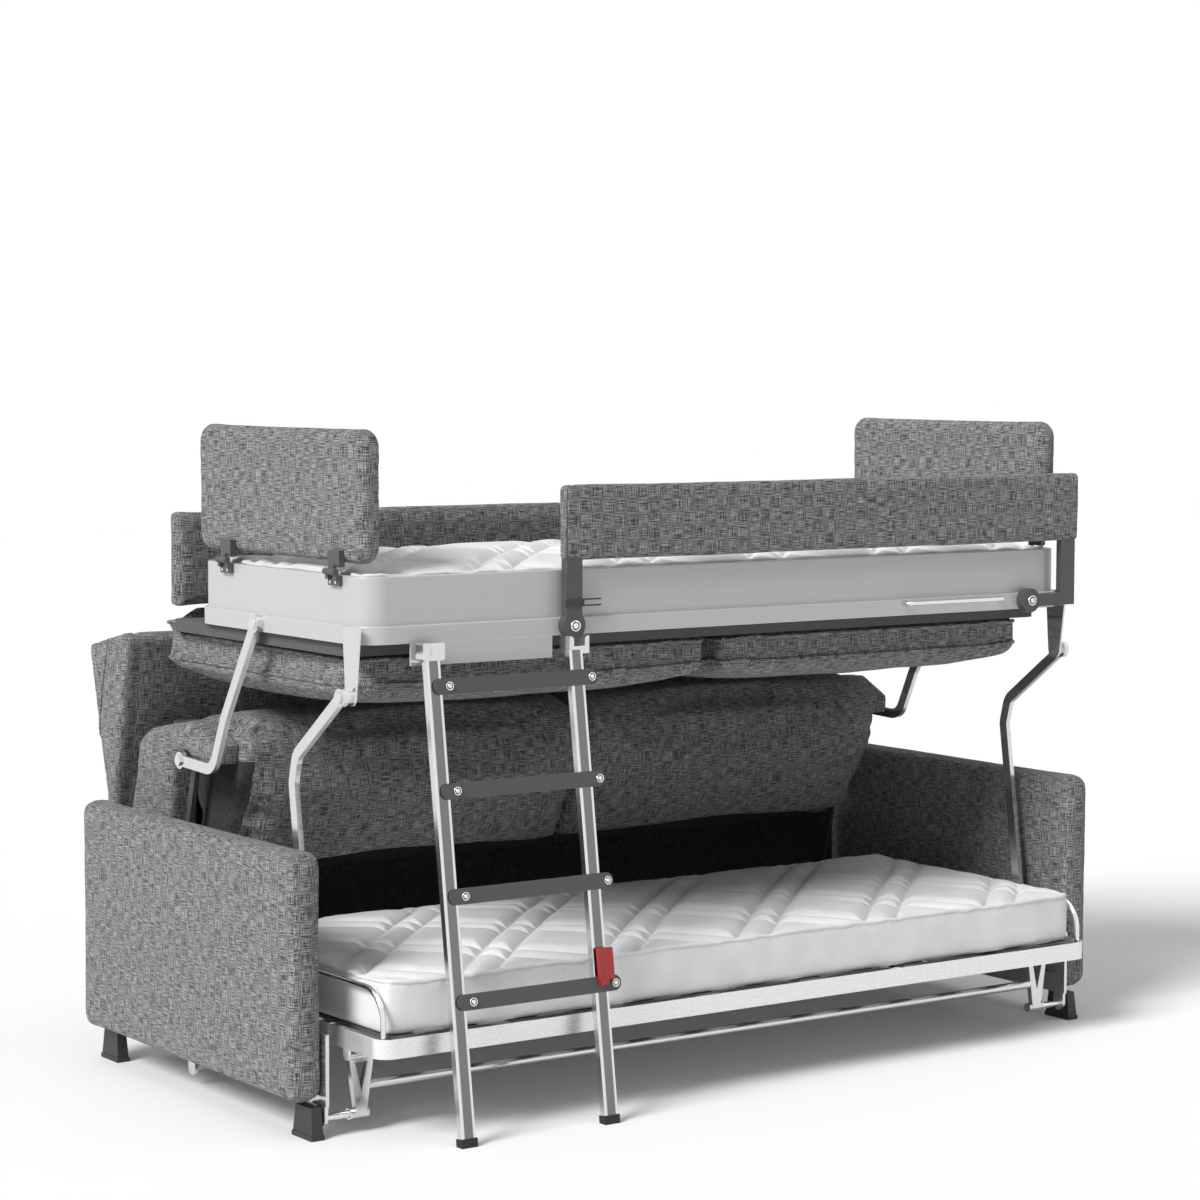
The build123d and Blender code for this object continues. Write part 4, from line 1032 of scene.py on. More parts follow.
@dataclass
class Loft:
    """The sewing loft: swells pads, presses seams into them and lays piping on them, in metres."""

    frames: int = 20
    quality: int = 4
    stiffness: float = 12.0
    shear_share: float = 0.5
    mass: float = 0.3
    piping_radius: float = 0.0042
    piping_sink: float = 0.25
    seam_depth: float = 0.0028
    seam_width: float = 0.006
    slow_lump: float = 0.34
    quick_lump: float = 0.11
    quick_share: float = 0.5
    hollow: float = 0.6
    out_of_reach: float = 1.0

    def swell(self, pads: Iterable[Pad]) -> None:
        """Simulates every pad that swells as a cloth with pressure inside, and caps how far it moves.

        Args:
            pads: The pads.
        """
        chosen = [pad for pad in pads if pad.swells]
        before = {pad.node: points_of(pad.piece) for pad in chosen}
        for pad in chosen:
            cloth = pad.piece.modifiers.new("swell", "CLOTH").settings
            cloth.quality = self.quality
            cloth.mass = self.mass
            cloth.tension_stiffness = self.stiffness
            cloth.compression_stiffness = self.stiffness
            cloth.shear_stiffness = self.stiffness * self.shear_share
            cloth.use_pressure = True
            cloth.uniform_pressure_force = pad.pressure
            cloth.effector_weights.gravity = 0.0
        scene = bpy.context.scene
        for moment in range(1, self.frames + 1):
            scene.frame_set(moment)
        for pad in chosen:
            settle(pad.piece)
            moved = points_of(pad.piece) - before[pad.node]
            reach = np.linalg.norm(moved, axis=1)
            share = np.minimum(1.0, pad.cap / np.maximum(reach, TINY))
            set_points(pad.piece, before[pad.node] + moved * share[:, None])
        scene.frame_set(1)
        for pad in pads:
            pad.keep_clear()
            log.info("shaped %s: %d faces", pad.node, len(pad.piece.data.polygons))

    def press(
        self, piece: Piece, far: Callable[[np.ndarray, np.ndarray], np.ndarray], depth: float = 0.0,
        width: float = 0.0,
    ) -> None:
        """Presses a sewn seam into a piece.

        Args:
            piece: The piece.
            far: Gives each vertex's distance from the seam, from the vertices and their normals.
            depth: How deep it is, or 0 for the usual depth.
            width: How wide its shoulders are, or 0 for the usual width.
        """
        points, normals = points_of(piece), normals_of(piece)
        share = np.exp(-((far(points, normals) / (width or self.seam_width)) ** 2))
        set_points(piece, points - normals * ((depth or self.seam_depth) * share)[:, None])

    def press_across(
        self, piece: Piece, x: float, depth: float = 0.0, width: float = 0.0, squarest: float = math.inf
    ) -> None:
        """Presses a seam round a piece, in a plane that stands across the sofa.

        Args:
            piece: The piece.
            x: The plane's X in the sofa's millimetres.
            depth: How deep it is, or 0 for the usual depth.
            width: How wide its shoulders are, or 0 for the usual width.
            squarest: How squarely a face may look along X and still take the seam.
        """
        plane = x * placing.unit
        self.press(
            piece, lambda p, n: np.abs(p[:, 0] - plane) + (np.abs(n[:, 0]) > squarest) * self.out_of_reach,
            depth, width,
        )

    def rumple(self, piece: Piece, height: float, seed: float = 0.0) -> None:
        """Lays faint uneven hollows over a piece.

        Args:
            piece: The piece.
            height: How far the surface moves in or out.
            seed: Shifts the pattern.
        """
        points, normals = points_of(piece), normals_of(piece)
        slow, quick = lumps(points, self.slow_lump, seed), lumps(points, self.quick_lump, seed + 2)
        value = slow + self.quick_share * quick - self.hollow
        set_points(piece, points + normals * (height * value)[:, None])

    def piping(
        self, pad: Pad, name: str, route: Sequence[Vector], closed: bool = True, radius: float = 0.0
    ) -> None:
        """Lays a corded seam on a pad.

        Args:
            pad: The pad.
            name: The new piece's name.
            route: Points near the seam, in metres.
            closed: Whether it goes all the way round.
            radius: Its radius, or 0 for the usual one.
        """
        thick = radius or self.piping_radius
        skin = surface(pad.piece)
        laid = []
        for place in route:
            near, normal, _, _ = skin.find_nearest(place)
            laid.append(near + normal * (thick * self.piping_sink))
        piece = tube(name, laid, thick, closed)
        finishes.put(piece, pad.slot)
        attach(piece, pad.body)
        log.info("piped %s", name)


loft = Loft()


# Sub-assemblies


@dataclass
class Base:
    """The armrests and what stands between them."""

    arm_in: float = 1027
    arm_out: float = 1100
    seam_inset: float = 16
    seam_squarest: float = 0.85
    unevenness: float = 0.0008
    lining_half: float = 1015
    lining_low: float = 108
    lining_top: float = 400
    lining_front: float = 880
    lining_rear: float = 884
    slot: Pair = (933, 945)
    slot_top: float = 150
    lining_step: float = 12
    lining_rows: int = 22
    lining_thickness: float = 0.0012
    ripple: float = 0.0012
    ripple_quick: float = 0.0325
    ripple_slow: float = 0.009
    pads: list[Pad] = field(default_factory=list)

    def cut(self) -> list[Pad]:
        """Starts the armrests' covers.

        Returns:
            The pads.
        """
        self.pads = [
            Pad(f"{side.word}_armrest", "root", rounding=2, cap=0.006, fill=0.8, slack=0.0025).cut()
            for side in Side
        ]
        return self.pads

    def dress(self) -> None:
        """Sews the armrests and hangs the lining."""
        for pad, side in zip(self.pads, Side):
            for seam in (self.arm_out - self.seam_inset, self.arm_in + self.seam_inset):
                loft.press_across(pad.piece, side.value * seam, squarest=self.seam_squarest)
            loft.rumple(pad.piece, self.unevenness, seed=side.value)
            pad.sew()
        self.lining()

    def lining(self) -> None:
        """The black cloth that closes the back of the base: a thin stretched sheet between its stays."""
        count = round(2 * self.lining_half / self.lining_step)
        columns = [self.lining_half * (2 * step / count - 1) for step in range(count + 1)]
        columns = sorted(columns + [side.value * edge for side in Side for edge in self.slot])
        middle = (self.lining_front + self.lining_rear) / 2
        rows = []
        for row in range(self.lining_rows + 1):
            up = row / self.lining_rows
            line = []
            for x in columns:
                place = placing.spot(x, middle, self.lining_low + up * (self.lining_top - self.lining_low))
                wave = math.sin(x * self.ripple_quick) * math.sin(x * self.ripple_slow + 1)
                place.y += self.ripple * (wave * math.sin(math.pi * up))
                line.append(place)
            rows.append(line)
        near, far = (edge * placing.unit for edge in self.slot)
        slot_top = self.slot_top * placing.unit

        def beside_slots(corners: list[Vector]) -> bool:
            """Whether a quad is outside the two slots for the struts."""
            apart = abs(corners[0].x + corners[1].x) / 2
            return not (near < apart < far and corners[0].z < slot_top)

        piece = sheet_between("base_lining_cloth", rows, beside_slots, self.lining_thickness)
        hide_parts("base_lining")
        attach(piece, "root")
        log.info("hung the lining")


@dataclass
class Backrest:
    """The leaning backrest: two cushions, two wings and the rear panel."""

    back_half: float = 892
    seam_inset: float = 30
    seam_depth: float = 0.003
    cushion_unevenness: float = 0.0022
    wing_unevenness: float = 0.0008
    hood_unevenness: float = 0.0012
    hood_half: float = 1000
    hood_seam_inset: float = 34
    hood_hang_from: float = 610
    hood_hang_share: float = 0.4
    hood_cord: tuple[Pair, ...] = ((1030, 942), (1052, 860), (1082, 720), (1108, 580))
    cord_radius: float = 0.0028
    cord_steps: int = 12
    # Where the painted shade on the back cushions' outer ends starts and stops.
    end_depth: float = 12
    end_top: float = 702
    cloth_rear: Pair = (878, 396)
    cloth_front: Pair = (824, 446)
    cloth_half: float = 985
    cloth_wide: float = 888
    cloth_stop: float = 848
    cloth_sag: float = 0.004
    cloth_slack: float = 1.02
    cloth_thickness: float = 0.0012
    cloth_rows: int = 8
    cloth_steps: int = 120
    wave_share: float = 0.3
    wave_turn: float = 0.7
    pads: list[Pad] = field(default_factory=list)

    def cut(self) -> list[Pad]:
        """Starts the cushions', the wings' and the rear panel's covers.

        Returns:
            The pads.
        """
        cushions = [
            Pad(f"{side.word}_back_cushion", "backrest", rounding=8, cap=0.022, slack=0.006, fill=0.65).cut()
            for side in Side
        ]
        wings = [
            Pad(f"{side.word}_back_wing", "backrest", voxel=0.007, rounding=8, cap=0.008, slack=0.002).cut()
            for side in Side
        ]
        hood = Pad("rear_hood", "backrest", rounding=8, swells=False, slack=0.002, fill=0.5).cut()
        self.pads = cushions + wings + [hood]
        return self.pads

    def dress(self) -> None:
        """Sews the covers, lets the rear panel's foot hang on and closes the back with a cloth."""
        for pad, side in zip(self.pads[:2], Side):
            seam = side.value * (self.back_half - self.seam_inset)
            loft.press_across(pad.piece, seam, depth=self.seam_depth)
            loft.rumple(pad.piece, self.cushion_unevenness, seed=side.value * 3)
            pad.sew()
            self.paint_end_shade(pad.piece, side)
        for pad, side in zip(self.pads[2:4], Side):
            loft.rumple(pad.piece, self.wing_unevenness, seed=side.value)
            pad.sew()
        hood = self.pads[4]
        for side in Side:
            seam = side.value * (self.hood_half - self.hood_seam_inset)
            loft.press_across(hood.piece, seam, depth=self.seam_depth)
        loft.rumple(hood.piece, self.hood_unevenness, seed=1.0)
        for side in Side:
            route = [placing.spot(side.value * self.hood_half, y, z) for y, z in self.hood_cord]
            fine = [
                here.lerp(there, step / self.cord_steps)
                for here, there in zip(route, route[1:]) for step in range(self.cord_steps)
            ]
            loft.piping(
                hood, f"rear_hood_{side.word}_cord", fine + route[-1:], closed=False, radius=self.cord_radius
            )
        points = points_of(hood.piece)
        low = np.clip(self.hood_hang_from * placing.unit - points[:, 2], 0, None)
        points[:, 2] -= low * self.hood_hang_share
        set_points(hood.piece, points)
        hood.sew()
        self.closing_cloth()

    def paint_end_shade(self, piece: Piece, side: Side) -> None:
        """Paints a back cushion's outer end, below the wing's top, with the black lining cloth as painted
        shade for the dark inside of the wing's opening.

        Args:
            piece: The cushion's cover.
            side: Which cushion it is.
        """
        # The black cloth on the outer end is painted shade inside the wing's opening.
        piece.data.materials.append(finishes.by_slot["black_cloth"])
        plane = (self.back_half - self.end_depth) * placing.unit * side.value
        top = self.end_top * placing.unit
        mesh = bmesh.new()
        mesh.from_mesh(piece.data)
        for place, turn in (((plane, 0, 0), (1, 0, 0)), ((0, 0, top), (0, 0, 1))):
            bmesh.ops.bisect_plane(
                mesh, geom=[*mesh.verts, *mesh.edges, *mesh.faces], dist=TINY, plane_co=place, plane_no=turn
            )
        for face in mesh.faces:
            middle = face.calc_center_median()
            if middle.x * side.value > abs(plane) and middle.z < top:
                face.material_index = 1
        mesh.to_mesh(piece.data)
        mesh.free()

    def closing_cloth(self) -> None:
        """The black cloth between the base lining's top and the backrest's lower rear edge."""
        front, back = placing.spot(0, *self.cloth_front), placing.spot(0, *self.cloth_rear)
        rows = []
        for row in range(self.cloth_rows + 1):
            share = row / self.cloth_rows
            middle = back.lerp(front, share)
            sag = self.cloth_sag * math.sin(math.pi * share)
            line = []
            for step in range(self.cloth_steps + 1):
                x = self.cloth_half * placing.unit * (2 * step / self.cloth_steps - 1)
                wave = 1 + self.wave_share * math.sin(step * self.wave_turn)
                line.append(Vector((x, middle.y, middle.z - sag * wave)))
            rows.append(line)
        stop = placing.deep(self.cloth_stop)

        def ahead_or_between(corners: list[Vector]) -> bool:
            """Whether a quad is clear of the side frames' rear uprights."""
            beside = max(abs(corner.x) for corner in corners) > self.cloth_wide * placing.unit
            return not (beside and min(corner.y for corner in corners) < stop)

        piece = sheet_between("back_closing_cloth", rows, ahead_or_between, self.cloth_thickness)
        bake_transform(piece)
        log.info("hung the closing cloth")


@dataclass
class MattressSize:
    """The sizes of one quilted mattress, in the sofa's millimetres."""

    half: float
    front: float
    rear: float
    side_top: float
    corner: float


@dataclass
class Quilting:
    """Shapes and quilts a mattress with double-line diamonds. Its lengths are in metres."""

    pair_pitch: float = 0.256
    pair_gap: float = 0.066
    cross_shift: float = 0.06
    seam_width: float = 0.0042
    seam_depth: float = 0.011
    pillow_width: float = 0.019
    pillow_depth: float = 0.011
    pillow_share: float = 0.3
    upward: Pair = (1.6, 0.5)
    top_reach: float = 0.012
    edge_fade: float = 0.035
    edge_share: float = 0.2
    side_slope: float = 0.7
    ruche_pitch: float = 0.021
    ruche_height: float = 0.0016
    ruche_reach: float = 0.03
    ruche_share: float = 0.4
    ruche_sway: float = 3
    ruche_lump: float = 0.12
    lump_pitch: float = 0.31
    lump_height: float = 0.0025
    piping_radius: float = 0.0045

    def far_from_lines(self, along: np.ndarray) -> np.ndarray:
        """The distance from the nearest line of one family of quilting lines.

        Args:
            along: Each vertex's place across the family.

        Returns:
            The distances.
        """
        inside = np.abs((along % self.pair_pitch) - self.pair_pitch / 2)
        return np.abs(inside - self.pair_gap / 2)

    def quilt(self, pad: Pad, size: MattressSize) -> None:
        """Quilts a mattress's top, ruches its side and lays its piping.

        Args:
            pad: The mattress's pad.
            size: Its sizes.
        """
        pad.piece.modifiers.new("finer", "SUBSURF").levels = 1
        settle(pad.piece)
        points, normals = points_of(pad.piece), normals_of(pad.piece)
        x, y, z = points.T
        root = math.sqrt(2)
        apart = np.minimum(
            self.far_from_lines((x - y) / root), self.far_from_lines((x + y) / root + self.cross_shift)
        )
        pinch = self.seam_depth * np.exp(-apart / self.seam_width)
        pinch += self.pillow_depth * (np.exp(-((apart / self.pillow_width) ** 2)) - self.pillow_share)
        top = size.side_top * placing.unit
        inset = np.minimum(
            size.half * placing.unit - np.abs(x),
            np.minimum(y - placing.deep(size.front), placing.deep(size.rear) - y),
        )
        steep, start = self.upward
        on_top = np.clip(normals[:, 2] * steep - start, 0, 1) * (z > top - self.top_reach)
        fade = np.clip(inset / self.edge_fade, 0, 1)
        drop = pinch * on_top * (self.edge_share + (1 - self.edge_share) * fade)
        on_side = (z < top) * (np.abs(normals[:, 2]) < self.side_slope)
        below = np.clip(1 - (top - z) / self.ruche_reach, 0, 1) * on_side
        sway = self.ruche_sway * lumps(points, self.ruche_lump)
        ruche = np.sin(2 * math.pi * (x + y) / self.ruche_pitch + sway)
        gather = self.ruche_height * below * (1 - self.ruche_share + self.ruche_share * ruche)
        points -= normals * (drop + gather)[:, None]
        points[:, 2] += self.lump_height * lumps(points, self.lump_pitch, 1.0) * on_top
        set_points(pad.piece, points)
        route = rounded_route(
            (-size.half, size.front), (size.half, size.rear), size.corner, lambda x, y: size.side_top
        )
        loft.piping(pad, f"{pad.node}_piping", route, radius=self.piping_radius)


@dataclass
class Bunk:
    """The upper bunk's soft parts: mattress, the sofa's seat upside down, apron and guard sleeve."""

    seat_half: float = 950
    seat_split: float = 1.5
    seat_front: float = 38
    seat_rear: float = 890
    seat_lip: float = 826
    lip_climb: float = 24
    seat_corner: float = 60
    seat_flat: float = 977
    seat_unevenness: float = 0.0018
    end_reach: float = 150
    end_thinning: float = 0.26
    nose_outer: float = 85
    nose_inner: float = 42
    seat_upper: float = 970
    seat_lip_top: float = 1012
    seat_lower: float = 889
    stitch_drop: float = 9
    stitch_depth: float = 0.0016
    stitch_width: float = 0.003
    stitch_upright: float = 0.6
    guard_left: float = -484
    guard_right: float = 984
    guard_hem: float = 26
    hem_depth: float = 0.0018
    hem_width: float = 0.004
    guard_unevenness: float = 0.0011
    apron_half: float = 958
    apron_inset: float = 18
    apron_unevenness: float = 0.0009
    pads: list[Pad] = field(default_factory=list)
    mattress: MattressSize = field(
        default_factory=lambda: MattressSize(half=935, front=-13, rear=652, side_top=1146, corner=52)
    )

    def cut(self) -> list[Pad]:
        """Starts the covers.

        Returns:
            The pads.
        """
        self.pads = [
            Pad(
                f"{side.word}_seat_cushion", "bunk", rounding=5, cap=0.024, shrink=0.005,
                slack=0.005, fill=0.7,
            ).cut()
            for side in Side
        ]
        self.pads += [
            Pad("front_apron", "bunk", voxel=0.008, cap=0.008, slack=0.002, fill=0.5).cut(),
            Pad(
                "guard_sleeve", "bunk", voxel=0.006, rounding=4, swells=False, slack=0.002,
                fill=0.3, slab=True,
            ).cut(),
            Pad("upper_mattress", "bunk", slot="quilt", rounding=3, swells=False, slack=0.004).cut(),
        ]
        return self.pads

    def dress(self) -> None:
        """Sews the covers."""
        for pad, side in zip(self.pads[:2], Side):
            self.seat(pad, side)
        apron, sleeve, mattress = self.pads[2:]
        for side in Side:
            loft.press_across(apron.piece, side.value * (self.apron_half - self.apron_inset))
        loft.rumple(apron.piece, self.apron_unevenness, seed=2.0)
        apron.sew()
        for hem in (self.guard_left + self.guard_hem, self.guard_right - self.guard_hem):
            loft.press_across(sleeve.piece, hem, depth=self.hem_depth, width=self.hem_width)
        loft.rumple(sleeve.piece, self.guard_unevenness, seed=4.0)
        sleeve.sew()
        Quilting().quilt(mattress, self.mattress)
        mattress.sew()

    def thickness(self, across: np.ndarray, deep: np.ndarray) -> np.ndarray:
        """How thick a seat cushion stays, as a share, where it draws in towards its rims.

        Args:
            across: Distances from the sofa's middle.
            deep: Distances behind the armrests' front plane.

        Returns:
            The shares.
        """

        def swell(gap: np.ndarray) -> np.ndarray:
            """A quarter circle's rise from a rim."""
            share = np.clip(gap / self.end_reach, 0, 1)
            return 1 - np.sqrt(1 - (1 - share) ** 2)

        ends = np.minimum(self.seat_half - across, across - self.seat_split)
        rims = np.minimum(deep - self.seat_front, self.seat_rear - deep)
        return 1 - self.end_thinning * (swell(ends) + swell(rims))

    def draw_in(self, piece: Piece) -> None:
        """Thins a seat cushion towards its rims and rounds its front corners in plan.

        Args:
            piece: The cushion's cover.
        """
        points = points_of(piece) / placing.unit
        across, deep, up = np.abs(points[:, 0]), points[:, 1] + placing.origin_y, points[:, 2]
        share = self.thickness(across, deep)
        below = up < self.seat_flat
        points[:, 2] = np.where(below, self.seat_flat - (self.seat_flat - up) * share, up)
        sign = np.sign(points[:, 0])
        for gap, inward, reach in (
            (self.seat_half - across, -1, self.nose_outer),
            (across - self.seat_split, 1, self.nose_inner),
        ):
            aside = np.clip(1 - gap / reach, 0, 1)
            ahead = np.clip(1 - (deep - self.seat_front) / reach, 0, 1)
            long = np.hypot(aside, ahead)
            pull = 1 - np.maximum(aside, ahead) / np.maximum(long, TINY)
            near = (aside > 0) & (ahead > 0)
            points[:, 0] += np.where(near, sign * inward * aside * pull * reach, 0)
            points[:, 1] += np.where(near, ahead * pull * reach, 0)
        set_points(piece, points * placing.unit)

    def seat(self, pad: Pad, side: Side) -> None:
        """Pipes and stitches one seat cushion, which lies upside down under the board.

        Args:
            pad: The cushion's pad.
            side: Which cushion it is.
        """
        xs = sorted((side.value * self.seat_split, side.value * self.seat_half))
        low, high = (xs[0], self.seat_front), (xs[1], self.seat_rear)
        self.draw_in(pad.piece)

        def upper(x: float, y: float) -> float:
            """The upper seam's height, which climbs to the rear lip's top."""
            climb = min(1.0, max(0.0, (y - self.seat_lip + self.lip_climb / 2) / self.lip_climb))
            return self.seat_upper + climb * (self.seat_lip_top - self.seat_upper)

        stitch = (self.seat_upper - self.stitch_drop) * placing.unit

        def from_stitch(points: np.ndarray, normals: np.ndarray) -> np.ndarray:
            """Each vertex's distance from the stitched line, out of reach where the face lies flat."""
            flat = np.abs(normals[:, 2]) > self.stitch_upright
            return np.abs(points[:, 2] - stitch) + flat * loft.out_of_reach

        loft.press(pad.piece, from_stitch, depth=self.stitch_depth, width=self.stitch_width)
        loft.rumple(pad.piece, self.seat_unevenness, seed=side.value * 5)
        loft.piping(pad, f"{pad.node}_upper_piping", rounded_route(low, high, self.seat_corner, upper))
        drop = self.seat_flat - self.seat_lower
        lower = rounded_route(
            low, high, self.seat_corner,
            lambda x, y: self.seat_flat - drop * float(self.thickness(np.array(abs(x)), np.array(y))),
        )
        loft.piping(pad, f"{pad.node}_lower_piping", lower)
        pad.sew()


@dataclass
class HeadPanels:
    """The two padded panels at the bunk's ends."""

    face_in: float = 902
    face_out: float = 952
    seam_inset: float = 9
    seam_depth: float = 0.002
    seam_width: float = 0.004
    seam_squarest: float = 0.9
    unevenness: float = 0.0005
    pads: list[Pad] = field(default_factory=list)

    def cut(self) -> list[Pad]:
        """Starts the covers.

        Returns:
            The pads.
        """
        self.pads = [
            Pad(
                f"{side.word}_head_panel", f"{side.word}_head", voxel=0.006, rounding=3, cap=0.005,
                shrink=0.003, slack=0.0015, fill=0.7,
            ).cut()
            for side in Side
        ]
        return self.pads

    def dress(self) -> None:
        """Sews the covers, each with a seam round its rim near both faces."""
        for pad, side in zip(self.pads, Side):
            for seam in (self.face_in + self.seam_inset, self.face_out - self.seam_inset):
                loft.press_across(
                    pad.piece, side.value * seam, self.seam_depth, self.seam_width, self.seam_squarest
                )
            loft.rumple(pad.piece, self.unevenness, seed=side.value * 7)
            pad.sew()


@dataclass
class LowerBed:
    """The lower bed's mattress and the dark lens-shaped pieces between it and the band, laid as painted
    shadow in the gaps under the mattress.
    """

    band_half: float = 974
    band_front: float = -123
    band_rear: float = 655
    band_wall: float = 4
    band_top: float = 218
    corner: float = 36
    # The dark lens-shaped pieces below are painted shadow in the gaps between band and mattress.
    gap_shadow_count: int = 7
    gap_shadow_length: float = 236
    gap_shadow_depth: float = 15
    gap_shadow_height: float = 9
    gap_shadow_stations: int = 25
    gap_shadow_sides: int = 10
    gap_shadow_tip: float = 0.02
    gap_shadow_fullness: float = 2.2
    mattress: MattressSize = field(
        default_factory=lambda: MattressSize(half=942, front=-103, rear=625, side_top=330, corner=46)
    )
    pads: list[Pad] = field(default_factory=list)

    def cut(self) -> list[Pad]:
        """Starts the mattress.

        Returns:
            The pads.
        """
        pad = Pad("lower_mattress", "lower_bed", slot="quilt", rounding=3, swells=False, slack=0.005)
        self.pads = [pad.cut()]
        return self.pads

    def dress(self) -> None:
        """Quilts the mattress and lays the painted gap shadows."""
        Quilting().quilt(self.pads[0], self.mattress)
        self.pads[0].sew()
        self.rests()

    def rests(self) -> None:
        """Near-black pieces with pointed ends along the band's front and rear, painted shadow in the
        lens-shaped gaps between the band and the mattress.
        """
        mesh = bmesh.new()
        pitch = 2 * (self.band_half - self.corner) / self.gap_shadow_count
        lines = (
            self.band_front + self.band_wall + self.gap_shadow_depth / 2,
            self.band_rear - self.band_wall - self.gap_shadow_depth / 2,
        )
        for line in lines:
            for index in range(self.gap_shadow_count):
                middle = -self.band_half + self.corner + (index + 1 / 2) * pitch
                rings = [self.gap_shadow_ring(mesh, middle, line, number) for number in range(self.gap_shadow_stations)]
                bridge(mesh, rings)
        bmesh.ops.recalc_face_normals(mesh, faces=mesh.faces)
        piece = piece_from("mattress_gap_shadows", mesh)
        smooth(piece)
        # The near-black rubber finish paints the shadow in the gap between band and mattress.
        finishes.put(piece, "rubber")
        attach(piece, "lower_bed")
        log.info("laid %d rests", 2 * self.gap_shadow_count)

    def gap_shadow_ring(self, mesh: bmesh.types.BMesh, x: float, y: float, station: int) -> Ring:
        """One ring of a painted gap shadow.

        Args:
            mesh: The mesh it goes into.
            x: The painted shadow's middle across the sofa.
            y: Its middle's depth.
            station: Which ring it is, from the left.

        Returns:
            The ring's corners.
        """
        share = 2 * station / (self.gap_shadow_stations - 1) - 1
        swell = max(self.gap_shadow_tip, 1 - abs(share) ** self.gap_shadow_fullness)
        ring = []
        for turn in range(self.gap_shadow_sides):
            angle = 2 * math.pi * turn / self.gap_shadow_sides
            deep = y + self.gap_shadow_depth / 2 * swell * math.cos(angle)
            up = self.band_top + self.gap_shadow_height / 2 * swell * math.sin(angle)
            ring.append(mesh.verts.new(placing.spot(x + share * self.gap_shadow_length / 2, deep, up)))
        return ring


@dataclass
class BoltRow:
    """The bolts of one kind on one body: their places and the way their heads face."""

    name: str
    body: str
    places: list[Vector]
    facing: Vector
    radius: float


@dataclass
class Ladder:
    """The ladder's and the guard's bolt heads, each with a turned rim and a slotted dome.

    The profiles are radius and height pairs, and with the slot's sizes they are shares of a head's radius.
    """

    tilt: float = 8.0
    foot_y: float = -207
    bolts: tuple[tuple[str, str, float], ...] = (("right", "root", -441), ("left", "ladder_left", -793))
    first: float = 286
    pitch: float = 213
    count: int = 4
    face_out: float = 19.6
    head_radius: float = 9
    guard_bolts: tuple[Pair, ...] = ((-460, 1026), (835, 1026))
    guard_face: float = -64
    guard_radius: float = 12
    rim: tuple[Pair, ...] = ((1.0, 0.0), (1.0, 0.05), (0.95, 0.11), (0.82, 0.11), (0.78, 0.03), (0.7, 0.0))
    ground: tuple[Pair, ...] = ((0.8, 0.0), (0.78, 0.025), (0.3, 0.03))
    dome: tuple[Pair, ...] = ((0.52, 0.02), (0.52, 0.1), (0.42, 0.16), (0.24, 0.19), (0.1, 0.195))
    slot_depth: float = 0.12
    slot_half: float = 0.1025
    slot_reach: float = 0.52
    sides: int = 28

    def rows(self) -> list[BoltRow]:
        """Places the bolts that show.

        Returns:
            The rows.
        """
        turn = math.radians(self.tilt)
        rise = Vector((0, math.sin(turn), math.cos(turn)))
        out = Vector((0, -math.cos(turn), math.sin(turn)))
        found = []
        for side, body, x in self.bolts:
            places = []
            for index in range(self.count):
                along = self.first / math.cos(turn) + index * self.pitch
                place = Vector((x, self.foot_y, 0)) + rise * along + out * self.face_out
                places.append(placing.spot(*place))
            found.append(BoltRow(f"ladder_{side}", body, places, out, self.head_radius * placing.unit))
        guard = [placing.spot(x, self.guard_face, z) for x, z in self.guard_bolts]
        found.append(BoltRow("guard", "bunk", guard, Vector((0, -1, 0)), self.guard_radius * placing.unit))
        return found

    def turned(self, row: BoltRow, profile: Sequence[Pair], slot: float) -> bmesh.types.BMesh:
        """Turns a profile round each bolt's axis.

        Args:
            row: The bolts.
            profile: Radius and height pairs, as shares of the head's radius.
            slot: How deep a slot is pressed across the middle, as a share of the head's radius.

        Returns:
            The mesh.
        """
        mesh = bmesh.new()
        frame_turn = row.facing.to_track_quat("Z", "X")
        for place in row.places:
            rings = []
            for radius, height in profile:
                ring = []
                for side in range(self.sides):
                    angle = 2 * math.pi * side / self.sides
                    x, y = radius * math.cos(angle), radius * math.sin(angle)
                    low = slot if abs(y) < self.slot_half and radius < self.slot_reach else 0.0
                    local = Vector((x, y, height - low)) * row.radius
                    ring.append(mesh.verts.new(place + frame_turn @ local))
                rings.append(ring)
            bridge(mesh, rings)
        bmesh.ops.recalc_face_normals(mesh, faces=mesh.faces)
        return mesh

    def dress(self) -> None:
        """Sets a rim, a dark ground and a dome on each bolt head."""
        kinds = (
            ("rims", self.rim, "chrome", 0.0),
            ("grounds", self.ground, "dark_plastic", 0.0),
            ("domes", self.dome, "chrome", self.slot_depth),
        )
        for row in self.rows():
            for kind, profile, finish, slot in kinds:
                piece = piece_from(f"{row.name}_bolt_{kind}", self.turned(row, profile, slot))
                smooth(piece)
                finishes.put(piece, finish)
                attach(piece, row.body)
            log.info("turned %d heads of %s", len(row.places), row.name)


# Studio


